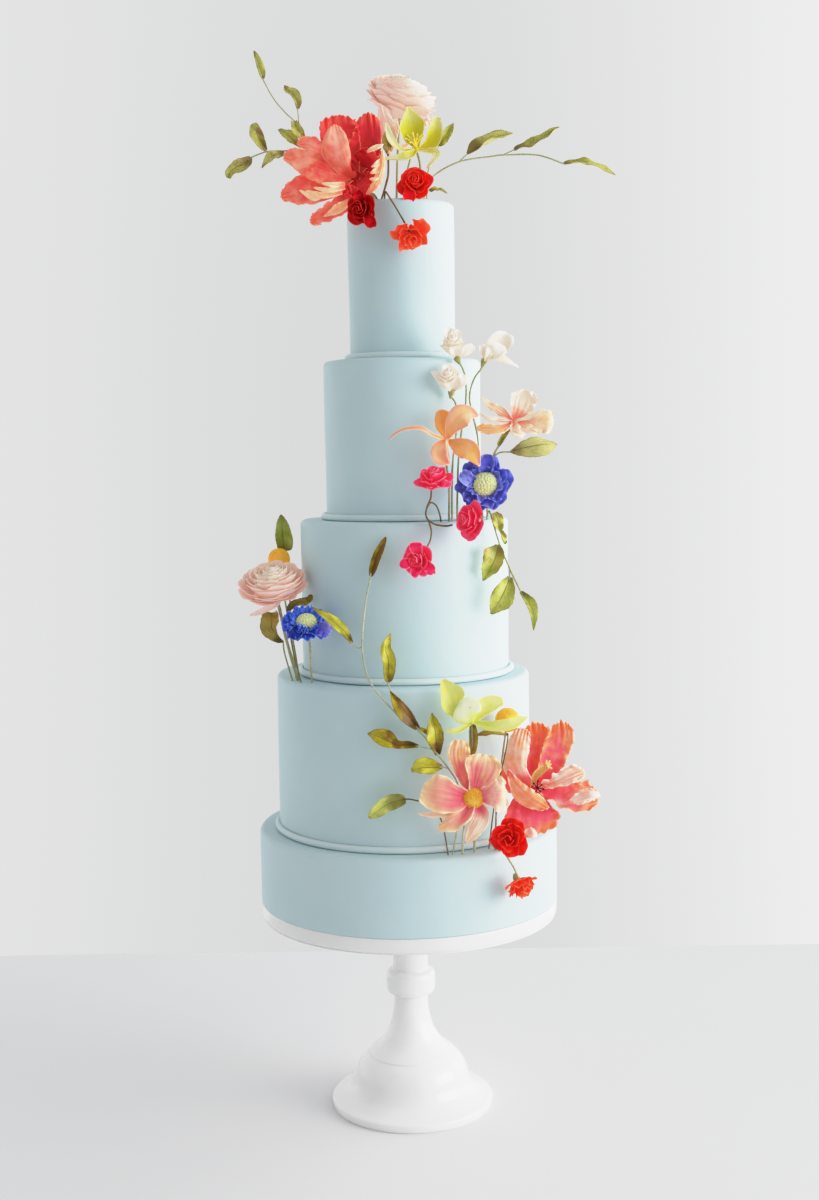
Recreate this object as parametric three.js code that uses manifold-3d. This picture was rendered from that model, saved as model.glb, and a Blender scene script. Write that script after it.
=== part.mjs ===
// Five-tier wedding cake on a white pedestal stand, dressed with sugar flowers on wires.
// Millimetres, +Z up, the front of the cake is -Y, origin at the middle of the stand's foot.
import * as THREE from "three";
import { mergeVertices } from "three/addons/utils/BufferGeometryUtils.js";
import Module from "manifold-3d";

const wasm = await Module();
wasm.setup();

// ---- driving sizes ----
const AROUND = 32;            // sides of every turned shape
const TIER_EDGE = 5;          // radius of the icing where wall meets top
const BOARD_HEIGHT = 7;       // padded band under each upper tier
const BOARD_REACH = 5.3;      // how far the band stands out from the wall above it
const SETTLE = 0.4;           // air kept between a wire's end and the icing
const SHEET = 1.2;            // thickness of petals and leaves along their midrib

// radius, height of the underside, height of the top, sideways set-off
const TIERS = {
  tier_1_bottom: [156, 227, 305, 0],
  tier_2: [131.3, 305, 466.5, -3.5],
  tier_3: [107.2, 466.5, 625.5, 0],
  tier_4: [80.3, 625.5, 786.5, 0],
  tier_5_top: [54.2, 786.5, 943, 1],
};

// turned outline of the stand, radius then height, from the foot up to the plate
const STAND = [
  [0, 0], [82.5, 0], [85.6, 3], [84.6, 8], [70, 15.5], [61, 28.5], [57.5, 41], [46.6, 54.4],
  [45.6, 56.6], [34, 66], [24, 82], [17.8, 110], [17.8, 119], [25, 123], [25.8, 134],
  [18.7, 147], [18.9, 202], [150, 210.5], [155.5, 215], [155.5, 225], [153.5, 227], [0, 227],
];

// which way the upper face of a petal or leaf looks
const FACING = {
  front: [0, -1, 0.15],
  up: [0, -0.45, 0.9],
  lifted: [0, -0.75, 0.65],
  down: [0, -0.75, -0.65],
  left: [-0.75, -0.65, 0.1],
  right: [0.75, -0.65, 0.1],
};

// Heads of closely packed petals for a flower of unit radius: number of lobes, then rings from the
// middle of the face out to the rim and back under to the wire. Ring: radius, height along the
// axis, how far the lobes reach out, how far they lift, turn of the lobes in steps of half a lobe.
const HEADS = {
  rose: [5, [0, 0.5], [0.3, 0.56, 0.06, 0.05, 0], [0.62, 0.38, 0.1, 0.08, 1],
    [1, 0.12, 0.14, 0.1, 0], [0.5, -0.26, 0.04, 0, 0], [0, -0.44]],
  ranunculus: [7, [0, 0.5], [0.4, 0.56, 0.04, 0.03, 0], [0.78, 0.44, 0.06, 0.06, 1],
    [1.06, 0.4, 0.1, 0.08, 0], [0.62, -0.02, 0.05, 0.02, 0], [0.26, -0.28, 0, 0, 0], [0, -0.34]],
  anemone: [7, [0, 0.44], [0.3, 0.38, 0, 0, 0], [0.38, 0.18, 0.02, 0, 0],
    [0.72, 0.28, 0.08, 0.07, 1], [1, 0.22, 0.12, 0.1, 0], [0.5, 0.04, 0.04, 0.02, 0], [0, -0.2]],
};

// Every flower, leaf spray and vine. Blades list kind, width, cup, widest point (0 base, 1 tip),
// taper, facing, then the points of the midrib from the base out; a point with five numbers also
// gives the half widths left and right of it. Wires list radius, then points, the last one on the
// icing for a wire that is pushed into the cake.
const PIECES = {
  tulip_top: {
    kind: "tulip", heart: [-45.5, -34, 968.5], core: 6,
    blades: [
      ["petal", 0, -0.3, 0.62, 1, "front", [-46.5, -36, 966.5, 3, 2], [-53.5, -50, 975.5, 11, 10],
        [-58, -56, 989, 17, 13], [-61, -55, 1002.5, 12.5, 13], [-62, -50, 1015.5, 6, 7]],
      ["petal", 0, 0.2, 0.62, 1, "front", [-47.5, -35, 967, 4, 3], [-69.5, -46, 971.5, 18.5, 12],
        [-89, -47, 979.5, 17.5, 13], [-105, -42, 986, 10, 8], [-114.5, -38, 989, 6, 4.5]],
      ["petal", 0, 0.2, 0.62, 1, "front", [-47.5, -33, 969.5, 3, 3], [-71.5, -38, 988.5, 9, 9],
        [-87.5, -37, 998.5, 8, 9], [-101.5, -35, 1000, 2, 3]],
      ["petal", 0, 0.28, 0.62, 1, "front", [-46, -31.5, 969.5, 8, 8], [-53.5, -22, 995, 20.5, 15],
        [-59.5, -21, 1014, 22, 22], [-60.5, -26, 1028.5, 17.5, 18.5]],
      ["petal", 0, 0.3, 0.62, 1, "front", [-44.5, -31.5, 969.5, 8, 8], [-34.5, -24, 992.5, 15, 18.5],
        [-28, -22, 1012, 14, 15], [-28.5, -27, 1031.5, 12, 10]],
      ["petal", 0, 0.2, 0.62, 1, "front", [-44, -32.5, 966.5, 10, 10], [-31.5, -30, 973, 21.5, 20.5],
        [-17.5, -40, 978.5, 16, 13]],
      ["petal", 0, 0.2, 0.62, 1, "front", [-45, -35, 966, 6, 6], [-36.5, -42, 956.5, 11, 9],
        [-26.5, -43, 952, 9, 4]],
      ["petal", 0, 0.2, 0.62, 1, "front", [-46, -34.5, 966, 5, 5], [-73, -46, 952.5, 14, 12],
        [-95, -46, 950.5, 16, 16], [-110, -42, 948.5, 9, 9], [-118, -39, 947, 4, 5]],
      ["petal", 0, 0.2, 0.62, 1, "front", [-45, -34.5, 966, 7, 7], [-53.5, -45, 942.5, 10, 10],
        [-68.5, -47, 931.5, 9.5, 9], [-80.5, -43, 925.5, 7, 7], [-89, -41, 921, 4.5, 5]],
      ["petal", 16, -0.2, 0.6, 0.6, "front", [-45, -34.5, 966], [-48.5, -47, 949], [-51, -47, 956.5]],
    ],
    wires: [
      [1.4, [-45.5, -34, 968.5], [-29, -30, 952.5], [-24, -31, 943]],
    ],
  },
  ranunculus_top: {
    kind: "ranunculus", heart: [3, 15, 1050], size: 39, axis: [0.36, -0.1, 0.92], turn: 10,
    wires: [
      [1.2, [3, 15, 1050], [0, 8, 1011.5], [-2, -14, 966], [-2.5, -30, 943]],
    ],
  },
  bloom_peach: {
    kind: "tulip", heart: [-10.5, -14, 994], core: 4,
    blades: [
      ["petal", 0, 0.2, 0.62, 1, "front", [-10.5, -14, 994, 3, 3], [-13.5, -12, 1016, 6, 11.5],
        [-18, -12, 1040.5, 4, 7]],
      ["petal", 0, 0.2, 0.62, 1, "front", [-8.5, -14, 994, 2, 2], [-5.5, -13, 1010.5, 6, 5],
        [-2, -13, 1027.5, 5, 4]],
      ["leaf", 0, 0.2, 0.62, 1, "front", [-10, -14.5, 992.5, 2, 2], [-10.5, -19, 1002, 5, 6],
        [-9, -17, 1015, 3, 3]],
    ],
    wires: [
      [1.1, [-10.5, -14, 994], [-10.5, -20, 973], [-12.5, -24, 962], [-18.5, -24.5, 943]],
    ],
  },
  hellebore_top: {
    kind: "hellebore", heart: [17.5, -22, 995], core: 4,
    blades: [
      ["petal", 0, 0.35, 0.62, 1, "front", [19, -22.5, 994.5, 2, 2], [15.5, -21, 1006, 12.5, 10],
        [13, -20, 1020, 13, 13.5], [10, -24, 1036, 1.5, 1.5]],
      ["petal", 0, 0.3, 0.62, 1, "front", [19, -22.5, 994, 2, 2], [31.5, -22, 1001.5, 6, 9],
        [36.5, -25, 1012.5, 7.5, 8], [38.5, -28, 1025, 3, 4]],
      ["petal", 0, 0.4, 0.62, 1, "front", [16.5, -23, 994, 1.5, 1.5], [2.5, -27, 994, 2, 2.5],
        [-7, -30, 1004.5, 4.5, 4], [-11.5, -30, 1019.5, 1, 1]],
      ["petal", 0, 0.3, 0.62, 1, "lifted", [18.5, -23, 994, 2, 2], [7.5, -35, 984.5, 7, 5.5],
        [-13.5, -34, 983.5, 2, 2]],
      ["petal", 0, 0.3, 0.62, 1, "front", [19, -22.5, 994, 1.5, 1.5], [37.5, -27, 989.5, 4, 4],
        [28, -26, 975.5, 1, 1]],
    ],
    wires: [
      [1.2, [17.5, -22, 995], [21.5, -20, 979.5], [20, -20, 960], [18.5, -23.5, 943]],
    ],
  },
  bloom_blush: {
    kind: "tulip", heart: [17, 4, 1009.5], core: 3,
    blades: [
      ["petal", 12.5, 0.3, 0.62, 1, "up", [16, 4, 1010.5], [29.5, 6, 1026.5], [42.5, 4, 1031]],
      ["petal", 10.5, 0.3, 0.62, 1, "up", [16.5, 4, 1008.5], [8.5, 2, 1002.5], [1.5, 0, 1001]],
    ],
    wires: [
      [1, [17, 4, 1009.5], [11.5, 2, 988.5], [7, 0, 968.5], [7, -32.5, 943]],
    ],
  },
  rose_top_right: {
    kind: "rose", heart: [16, -46, 958], size: 17, axis: [-0.1, -0.95, 0.25], turn: 20,
    wires: [
      [1, [16, -46, 958], [16, -40, 948], [15.5, -39.5, 943]],
    ],
  },
  rose_top_left: {
    kind: "rose", heart: [-37.5, -66, 930.5], size: 17.5, axis: [-0.3, -0.9, -0.1], turn: 40,
    wires: [
      [1, [-37.5, -66, 930.5], [-31.5, -57, 941.5], [-25.5, -51, 947], [-21.5, -40, 943]],
    ],
  },
  rose_top_hanging: {
    kind: "rose", heart: [12, -76, 902.5], size: 17, axis: [0.15, -0.75, -0.6], turn: 0,
    wires: [
      [0.9, [12, -76, 902.5], [6.5, -68, 914], [-3, -62, 931.5], [-10, -57, 943.5], [-13.5, -50, 949],
        [-14.5, -40, 943]],
    ],
  },
  branch_left: {
    kind: "branch", heart: [-98, -24, 997],
    blades: [
      ["leaf", 8, 0.25, 0.45, 1.55, "front", [-133, -30, 1063], [-136, -32, 1075.5], [-142, -28, 1092]],
      ["leaf", 0, 0.25, 0.62, 1, "front", [-99.5, -28, 1034.5, 1.5, 1.5],
        [-100.5, -30, 1040.5, 4, 5.5], [-103.5, -30, 1048, 4.5, 4], [-113, -27, 1058.5, 0.5, 0.5]],
      ["leaf", 0, 0.25, 0.62, 1, "front", [-93.5, -28, 1005.5, 3, 2], [-98.5, -31, 1012.5, 8, 4],
        [-101.5, -31, 1018, 5.5, 4], [-103, -28, 1023.5, 3, 2.5]],
      ["leaf", 0, 0.25, 0.62, 1, "front", [-98.5, -25, 999, 2, 2], [-106.5, -28, 1006.5, 5.5, 5.5],
        [-113.5, -28, 1011.5, 4, 4.5], [-120, -26, 1015.5, 0.5, 0.5]],
      ["leaf", 14.5, 0.25, 0.5, 1.1, "front", [-132, -24, 995.5], [-139.5, -28, 1007.5],
        [-144.5, -26, 1021.5]],
      ["leaf", 16.5, 0.3, 0.5, 1.2, "front", [-147.5, -24, 988.5], [-158, -29, 982.5],
        [-173, -26, 967.5]],
      ["leaf", 11, 0.25, 0.45, 1.55, "front", [-114, -28, 991.5], [-125, -31, 988.5], [-137, -28, 977.5]],
    ],
    wires: [
      [0.7, [-133.5, -30.5, 1065], [-133, -30, 1063], [-123, -28, 1044.5], [-111.5, -26, 1031],
        [-101.5, -24, 1021.5], [-92, -24, 1005], [-78.5, -22, 987.5]],
      [0.6, [-99.5, -28.5, 1036], [-99.5, -28, 1034.5], [-99, -25, 1023.5], [-101.5, -24, 1021.5]],
      [0.7, [-149, -25, 987.5], [-147.5, -24, 988.5], [-131.5, -24, 994], [-114.5, -24, 994.5],
        [-98.5, -24, 995], [-78.5, -22, 987.5], [-47.5, -12, 959.5], [-31.5, -8, 956], [-28.5, -15, 943]],
      [0.6, [-95.5, -29.5, 1008.5], [-93.5, -28, 1005.5], [-92, -24, 1005]],
      [0.6, [-101, -26, 1001], [-98.5, -25, 999], [-98.5, -24, 995]],
      [0.6, [-133.5, -25, 997.5], [-132, -24, 995.5], [-131.5, -24, 994]],
      [0.6, [-116, -28.5, 991], [-114, -28, 991.5], [-114.5, -24, 994.5]],
    ],
  },
  branch_right: {
    kind: "branch", heart: [95, -10, 989],
    blades: [
      ["leaf", 12.5, 0.2, 0.45, 1.55, "lifted", [69, -12, 991], [90, -16, 1003], [115.5, -12, 1012]],
      ["leaf", 12, 0.2, 0.45, 1.55, "lifted", [116, -12, 994.5], [138, -16, 1001], [161.5, -12, 1017.5]],
      ["leaf", 9.5, 0.2, 0.45, 1.55, "lifted", [165.5, -12, 980.5], [190, -15, 980], [219.5, -10, 969.5]],
    ],
    wires: [
      [0.8, [168, -12.5, 980.5], [165.5, -12, 980.5], [139.5, -10, 989.5], [105, -10, 990],
        [95, -10, 989], [60.5, -12, 983.5], [32.5, -14, 967.5], [21.5, -29.5, 943]],
      [0.6, [71, -12.5, 992], [69, -12, 991], [60.5, -12, 983.5]],
      [0.6, [118, -12.5, 995], [116, -12, 994.5], [105, -10, 990]],
    ],
  },
  leaf_top_slim: {
    kind: "branch", heart: [41, -6, 1000.5],
    blades: [
      ["leaf", 10.5, 0.2, 0.45, 1.55, "front", [41, -6, 1000.5], [48, -8, 1012], [56, -6, 1023.5]],
    ],
    wires: [
      [0.6, [42.5, -6.5, 1002.5], [41, -6, 1000.5], [34.5, -8, 990.5], [28.5, -12, 971],
        [25, -13, 956], [25.5, -13.5, 943]],
    ],
  },
  leaf_top_small: {
    kind: "branch", heart: [30, -16, 955.5],
    blades: [
      ["leaf", 6, 0.2, 0.45, 1.55, "lifted", [30, -16, 955.5], [39, -18, 956], [49, -16, 953]],
    ],
    wires: [
      [0.6, [32.5, -16.5, 955.5], [30, -16, 955.5], [28, -22, 951.5], [27.5, -27.5, 943]],
    ],
  },
  bud_upper_left: {
    kind: "bud", heart: [53.5, -68, 787], core: 3,
    blades: [
      ["petal", 0, 0.4, 0.62, 1, "front", [54, -68.5, 786, 3, 3], [52, -71, 797.5, 8, 8],
        [53, -69, 813.5, 8, 8]],
      ["petal", 0, 0.3, 0.62, 1, "front", [54, -69, 786, 2, 2], [61.5, -72, 791.5, 6, 5],
        [72.5, -68, 796.5, 4, 4]],
      ["petal", 0, 0.3, 0.62, 1, "front", [53.5, -69.5, 786.5, 2, 2], [46.5, -76, 792.5, 3.5, 7],
        [37.5, -72, 798, 0.5, 0.5]],
      ["petal", 0, 0.6, 0.62, 1, "front", [53, -68.5, 788, 3, 3], [46.5, -77, 805, 5, 5],
        [48, -73, 815.5, 3.5, 4.5]],
      ["petal", 0, 0.5, 0.62, 1, "front", [54, -69, 786, 3, 3], [53.5, -78, 792.5, 8, 8],
        [53.5, -76, 801, 7, 7]],
    ],
    wires: [
      [1, [53.5, -68, 787], [60.5, -70, 773.5], [63, -72, 761.5], [62.5, -74, 740], [57.5, -80, 710],
        [54.5, -84, 685.5], [53, -88, 656], [52.5, -86.5, 625.5]],
    ],
  },
  bud_upper_right: {
    kind: "bud", heart: [82.5, -66, 785], core: 3,
    blades: [
      ["petal", 0, 0.3, 0.62, 1, "front", [83, -66.5, 784, 3, 3], [92, -68, 792.5, 12, 11],
        [100, -66, 804, 10, 13], [103.5, -64, 810.5, 3, 6]],
      ["petal", 0, 0.3, 0.62, 1, "lifted", [83, -67, 784, 2, 2], [96.5, -74, 783.5, 6, 5],
        [115.5, -72, 775.5, 0.5, 0.5]],
      ["petal", 0, 0.5, 0.62, 1, "front", [82.5, -67, 784.5, 2, 2], [80, -73, 790.5, 4, 5],
        [80, -72, 798, 4, 5]],
      ["petal", 0, 0.4, 0.62, 1, "front", [83, -67, 784.5, 3, 3], [92.5, -76, 788, 10, 6],
        [101.5, -75, 795, 6, 7]],
    ],
    wires: [
      [1, [82.5, -66, 785], [79, -67, 775.5], [71, -70, 764], [66.5, -72, 748], [68.5, -76, 732],
        [74, -80, 704.5], [76, -74, 655.5], [76, -53.5, 625.5]],
    ],
  },
  bud_lower: {
    kind: "bud", heart: [49, -76, 754.5], core: 3,
    blades: [
      ["petal", 0, 0.4, 0.62, 1, "front", [49, -76.5, 753.5, 3, 3], [47, -79, 765.5, 8, 9],
        [47.5, -77, 780, 7, 8]],
      ["petal", 0, 0.4, 0.62, 1, "front", [49.5, -76.5, 753.5, 2, 2], [58, -81, 759.5, 7, 5],
        [62, -78, 769, 5, 5]],
      ["petal", 0, 0.4, 0.62, 1, "front", [48.5, -77, 754, 2, 2], [39.5, -84, 761.5, 4.5, 9],
        [29.5, -80, 772.5, 1.5, 1.5]],
      ["petal", 0, 0.5, 0.62, 1, "front", [49.5, -77, 753.5, 3, 3], [49, -86, 759, 9, 9],
        [48, -85, 769, 8, 8]],
    ],
    wires: [
      [1, [49, -76, 754.5], [48, -77, 748], [52.5, -78, 740], [53.5, -84, 719.5], [49, -86, 685.5],
        [47.5, -90, 656.5], [47.5, -88, 625.5]],
    ],
  },
  orchid: {
    kind: "orchid", heart: [43, -94, 705], core: 4,
    blades: [
      ["petal", 0, 0.15, 0.62, 1, "front", [43.5, -94.5, 706.5, 2, 2], [47, -100, 719.5, 6.5, 10],
        [55, -102, 730, 10, 14.5], [65.5, -100, 732.5, 5.5, 10.5], [74.5, -96, 728, 0.5, 1]],
      ["petal", 0, 0.2, 0.62, 1, "front", [42, -93, 706, 2, 2], [36.5, -88, 720.5, 6, 6],
        [38, -88, 734, 5, 6]],
      ["petal", 0, 0.4, 0.62, 1, "lifted", [41.5, -95, 705, 1.5, 1.5], [28.5, -100, 710, 2.5, 2.5],
        [19, -102, 716, 3, 2.5], [7.5, -102, 716.5, 3, 2.5], [-3.5, -100, 713.5, 2.5, 2], [-14, -98, 706, 0.5, 0.5]],
      ["petal", 0, 0.2, 0.62, 1, "front", [42, -95.5, 705, 2, 2], [36, -101, 697.5, 7.5, 7],
        [37, -101, 688.5, 8, 8], [45.5, -98, 681.5, 1, 1]],
      ["petal", 0, 0.15, 0.62, 1, "front", [44.5, -95, 704, 2, 2], [56.5, -102, 699.5, 9, 10],
        [66.5, -105, 694, 10, 10.5], [74.5, -105, 679.5, 1, 1]],
      ["petal", 0, 0.5, 0.62, 1, "front", [43, -94.5, 706.5, 1, 1], [42.5, -106, 699.5, 2, 2],
        [45.5, -104, 683, 0.5, 0.5]],
    ],
    wires: [
      [1.1, [43, -94, 705], [42.5, -95, 682], [44.5, -95, 661.5], [44.5, -86, 625.5]],
    ],
  },
  cosmos_side: {
    kind: "cosmos", heart: [110.5, -62, 723], core: 3.5,
    blades: [
      ["petal", 0, 0.35, 0.62, 1, "front", [111.5, -61, 722, 3, 4], [116.5, -54, 735, 11, 12],
        [120.5, -52, 747.5, 13, 13], [121.5, -54, 754, 8, 9]],
      ["petal", 0, 0.3, 0.62, 1, "lifted", [112, -62.5, 723, 1.5, 1.5], [126, -67, 727, 3.5, 3.5],
        [142, -66, 734, 2, 2]],
      ["petal", 0, 0.3, 0.62, 1, "front", [111.5, -63, 722, 2, 2], [128, -70, 721, 5, 7],
        [141.5, -71, 721.5, 11, 11], [149.5, -69, 720.5, 8, 8]],
      ["petal", 0, 0.2, 0.62, 1, "lifted", [111, -63, 722, 2, 2], [124.5, -71, 714.5, 5, 5.5],
        [138.5, -70, 714, 5, 4.5]],
      ["petal", 0, 0.2, 0.62, 1, "lifted", [110, -63, 722, 2, 2], [113, -72, 714, 5, 7],
        [121, -71, 709, 5, 6]],
      ["petal", 0, 0.4, 0.62, 1, "front", [109, -61.5, 724, 1.5, 1.5], [97, -60, 731.5, 4, 6],
        [87, -58, 738, 3, 3.5], [79, -58, 748, 1, 1]],
      ["petal", 0, 0.4, 0.62, 1, "lifted", [109, -62.5, 722.5, 1, 1], [96.5, -66, 724, 2.5, 2.5],
        [86.5, -66, 725.5, 2, 2], [76, -64, 731, 1, 1]],
      ["petal", 0, 0.2, 0.62, 1, "lifted", [110, -62.5, 721.5, 2, 2], [96, -71, 716, 8, 5],
        [84.5, -72, 715, 8.5, 6], [71.5, -69, 717.5, 2.5, 2.5]],
      ["leaf", 6, 0.5, 0.45, 1, "front", [110, -62, 721.5], [99, -60, 704.5], [95, -58, 697.5]],
      ["leaf", 0, 0.15, 0.62, 1, "front", [106, -60, 692.5, 0.5, 0.5], [119, -65, 696, 8, 8.5],
        [133, -67, 698.5, 10, 11.5], [144, -65, 699.5, 4.5, 9], [154, -62, 699.5, 0.5, 0.5]],
    ],
    wires: [
      [1.1, [110.5, -62, 723], [103.5, -60, 711], [95.5, -58, 698.5], [90, -56, 687.5],
        [87, -54, 667], [84, -60, 645], [84, -44.5, 625.5]],
      [0.9, [109, -61, 693.5], [106, -60, 692.5], [96.5, -59, 692], [90, -56, 687.5]],
    ],
  },
  anemone_right: {
    kind: "anemone", heart: [79.5, -92, 661.5], size: 27, axis: [-0.05, -0.97, 0.15], turn: 8, disc: 11,
    wires: [
      [1.1, [79.5, -92, 661.5], [78.5, -70, 640.5], [78.5, -62, 625.5]],
    ],
  },
  rose_right_upper: {
    kind: "rose", heart: [30, -120, 668], size: 17, axis: [0.1, -0.7, 0.7], turn: 15,
  },
  rose_right_middle: {
    kind: "rose", heart: [62, -118, 630], size: 16, axis: [-0.25, -0.6, -0.75], turn: 55,
  },
  rose_right_lower: {
    kind: "rose", heart: [12, -128, 591], size: 18, axis: [-0.6, -0.75, -0.3], turn: 30,
  },
  vine_curl: {
    kind: "vine", heart: [25.5, -108, 647.5],
    wires: [
      [0.9, [27, -112, 657], [26.5, -109, 649.5], [23, -107, 641], [21.5, -106, 634], [24, -110, 628],
        [31, -113, 624], [40.5, -115, 622.5], [47, -115, 623.5]],
      [0.8, [23, -107, 641], [27, -104, 645], [32, -102, 641.5], [35, -100, 633.5], [36.5, -92, 625.5]],
      [0.8, [24, -110, 628], [26.5, -116, 618], [25, -121, 608.5], [21.5, -123, 602.5]],
    ],
  },
  branch_trailing: {
    kind: "branch", heart: [93.5, -80, 603],
    blades: [
      ["leaf", 13, 0.2, 0.5, 1.05, "front", [89.5, -80, 633], [93.5, -84, 624], [95, -82, 614]],
      ["leaf", 6, 0.2, 0.5, 1.05, "front", [96, -78, 615], [98, -80, 609], [100, -79, 601.5]],
      ["leaf", 22.5, 0.15, 0.5, 1.05, "front", [92, -81, 599], [88, -86, 584], [77, -84, 566.5]],
      ["leaf", 23.5, 0.15, 0.5, 1.05, "front", [104, -80, 569.5], [98, -86, 552], [85.5, -83, 532.5]],
      ["leaf", 15, 0.25, 0.42, 1.2, "front", [115, -80, 554.5], [124.5, -84, 542.5], [127.5, -78, 515.5]],
    ],
    wires: [
      [0.9, [116.5, -80.5, 553], [115, -80, 554.5], [104, -80, 578], [94, -80, 603], [87, -82, 627],
        [84.5, -72, 634.5], [82.5, -60, 625.5]],
      [0.6, [103.5, -81, 567.5], [104, -80, 569.5], [104, -80, 578]],
      [0.6, [90.5, -81, 630.5], [89.5, -80, 633], [87, -82, 627]],
      [0.6, [96.5, -79, 613], [96, -78, 615], [92, -82, 621], [87, -82, 627]],
      [0.6, [91.5, -82, 597], [92, -81, 599], [94, -80, 603]],
    ],
  },
  leaf_upright: {
    kind: "branch", heart: [-126.5, 17, 593],
    blades: [
      ["leaf", 19, 0.3, 0.36, 1.15, "front", [-126, 17, 592], [-127.5, 14, 611], [-129, 17, 630.5]],
    ],
    wires: [
      [0.9, [-126, 16.5, 594.5], [-126, 17, 592], [-123, 14, 567], [-120.5, 4, 541.5],
        [-117.5, -16, 507], [-112, -44.5, 466.5]],
    ],
  },
  craspedia_left: {
    kind: "ball", heart: [-130.5, 2, 584.5], size: 11.5,
    wires: [
      [1, [-130.5, 2, 584.5], [-125, -4, 542.5], [-116, -26, 503], [-108, -54, 466.5]],
    ],
  },
  ranunculus_left: {
    kind: "ranunculus", heart: [-134, -52, 560.5], size: 34, axis: [-0.02, -0.34, 0.94], turn: 0,
    blades: [
      ["petal", 10, 0.3, 0.5, 0.9, "down", [-130, -48, 557], [-134.5, -58, 544], [-143.5, -61, 537],
        [-155.5, -61, 534]],
    ],
    wires: [
      [1.6, [-134, -52, 560.5], [-126.5, -52, 537], [-120.5, -54, 507.5], [-109, -62, 466.5]],
    ],
  },
  leaf_curled: {
    kind: "branch", heart: [-124.5, -44, 503.5],
    blades: [
      ["leaf", 17, 0.35, 0.55, 0.9, "front", [-124.5, -44, 503.5], [-135, -50, 514.5],
        [-137.5, -52, 525], [-130.5, -48, 534.5]],
    ],
    wires: [
      [0.8, [-127.5, -45.5, 506], [-124.5, -44, 503.5], [-123, -48, 492.5], [-114.5, -62, 466.5]],
    ],
  },
  leaf_brown: {
    kind: "branch", heart: [-118, -56, 537],
    blades: [
      ["leaf", 10, 0.35, 0.5, 1, "lifted", [-119, -56, 536.5], [-105.5, -60, 544.5],
        [-96.5, -60, 546], [-94, -58, 553]],
    ],
    wires: [
      [0.7, [-115.5, -57, 538.5], [-119, -56, 536.5], [-115, -62, 507.5], [-111, -68, 488],
        [-105, -74.5, 466.5]],
    ],
  },
  anemone_left: {
    kind: "anemone", heart: [-96.5, -93, 527], size: 26, axis: [0.05, -0.72, 0.69], turn: 12, disc: 10,
    wires: [
      [1, [-96.5, -93, 527], [-94.5, -88, 505.5], [-94, -78.5, 466.5]],
    ],
  },
  vine_long: {
    kind: "vine", heart: [-42.5, -112, 503],
    blades: [
      ["leaf", 9.5, 0.3, 0.5, 1.15, "front", [-33, -112, 574.5], [-27, -114, 593.5], [-17.5, -112, 613]],
      ["leaf", 0, 0.3, 0.62, 1, "front", [-52, -112, 510, 1.5, 1.5], [-59.5, -114, 522, 5, 5],
        [-71, -116, 533, 5, 5.5], [-90, -116, 546, 0.5, 0.5]],
      ["leaf", 13.5, 0.3, 0.4, 1.3, "front", [-17.5, -130, 473.5], [-16.5, -132, 493.5],
        [-19.5, -130, 507], [-14, -128, 521]],
      ["leaf", 0, 0.3, 0.62, 1, "front", [10.5, -144, 431, 3, 3], [1.5, -145, 443.5, 8, 6],
        [-7, -142, 454.5, 6.5, 5], [-15.5, -138, 466.5, 0.5, 0.5]],
      ["leaf", 0, 0.15, 0.62, 1, "front", [11, -145, 413.5, 1.5, 1.5], [2, -146, 414.5, 3.5, 4],
        [-9.5, -147, 415.5, 4.5, 4.5], [-20, -147, 420.5, 8.5, 9], [-29.5, -145, 424.5, 7, 6], [-38, -143, 426, 0.5, 0.5]],
      ["leaf", 0, 0.25, 0.62, 1, "front", [29.5, -146, 405.5, 2.5, 2.5], [28, -148, 418, 7.5, 7.5],
        [27, -149, 430, 8.5, 8], [24.5, -146, 446, 0.5, 0.5]],
      ["leaf", 0, 0.2, 0.62, 1, "front", [33.5, -150, 394, 2, 2], [23.5, -152, 394, 8, 7.5],
        [14, -152, 394, 7, 8.5], [3.5, -149, 390.5, 2, 1.5]],
      ["leaf", 4.5, 0.3, 0.5, 1, "front", [23, -145, 425], [17.5, -147, 428.5], [11.5, -148, 432]],
    ],
    wires: [
      [0.9, [-32.5, -112.5, 577], [-33, -112, 574.5], [-38.5, -112, 547], [-42, -116, 507],
        [-36.5, -128, 477.5], [-22, -139, 458], [-10, -139, 445], [3.5, -142, 434.5],
        [11, -143, 428.5], [19, -145, 420], [24, -147, 411], [30, -148, 405], [41, -149, 390],
        [48.5, -148, 375], [49, -148, 346.5], [43, -135.5, 305]],
      [0.7, [-53, -112.5, 512], [-52, -112, 510], [-46, -114, 505], [-42, -116, 507]],
      [0.7, [-17.5, -130.5, 477], [-17.5, -130, 473.5], [-14.5, -136, 465], [-9, -139, 454],
        [-10, -139, 445]],
      [0.7, [8.5, -145.5, 414], [11, -145, 413.5], [18.5, -146, 412], [24, -147, 411]],
      [0.7, [31, -150.5, 394], [33.5, -150, 394], [38, -150, 393], [41, -149, 390]],
      [0.6, [21, -146, 426.5], [23, -145, 425], [23.5, -146, 417.5], [24, -147, 411]],
      [0.6, [9, -144, 433], [10.5, -144, 431], [11, -143, 428.5]],
      [0.6, [29, -146.5, 408], [29.5, -146, 405.5], [30, -148, 405]],
    ],
  },
  leaf_low_left: {
    kind: "branch", heart: [-2, -146, 362.5],
    blades: [
      ["leaf", 16, 0.25, 0.48, 1, "front", [-2, -146, 362.5], [-19, -148, 358.5], [-38, -145, 344]],
    ],
    wires: [
      [0.7, [-4, -146.5, 362], [-2, -146, 362.5], [6, -146, 361.5], [21.5, -147, 356.5],
        [32.5, -147, 340], [38.5, -138.5, 305]],
    ],
  },
  hellebore_low: {
    kind: "hellebore", heart: [62.5, -142, 436], core: 4,
    blades: [
      ["petal", 0, 0.3, 0.62, 1, "front", [61, -141.5, 437, 4.5, 3], [46, -138, 451, 10.5, 7.5],
        [40.5, -138, 462.5, 8.5, 12.5], [34.5, -138, 476, 2.5, 3.5]],
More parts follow.
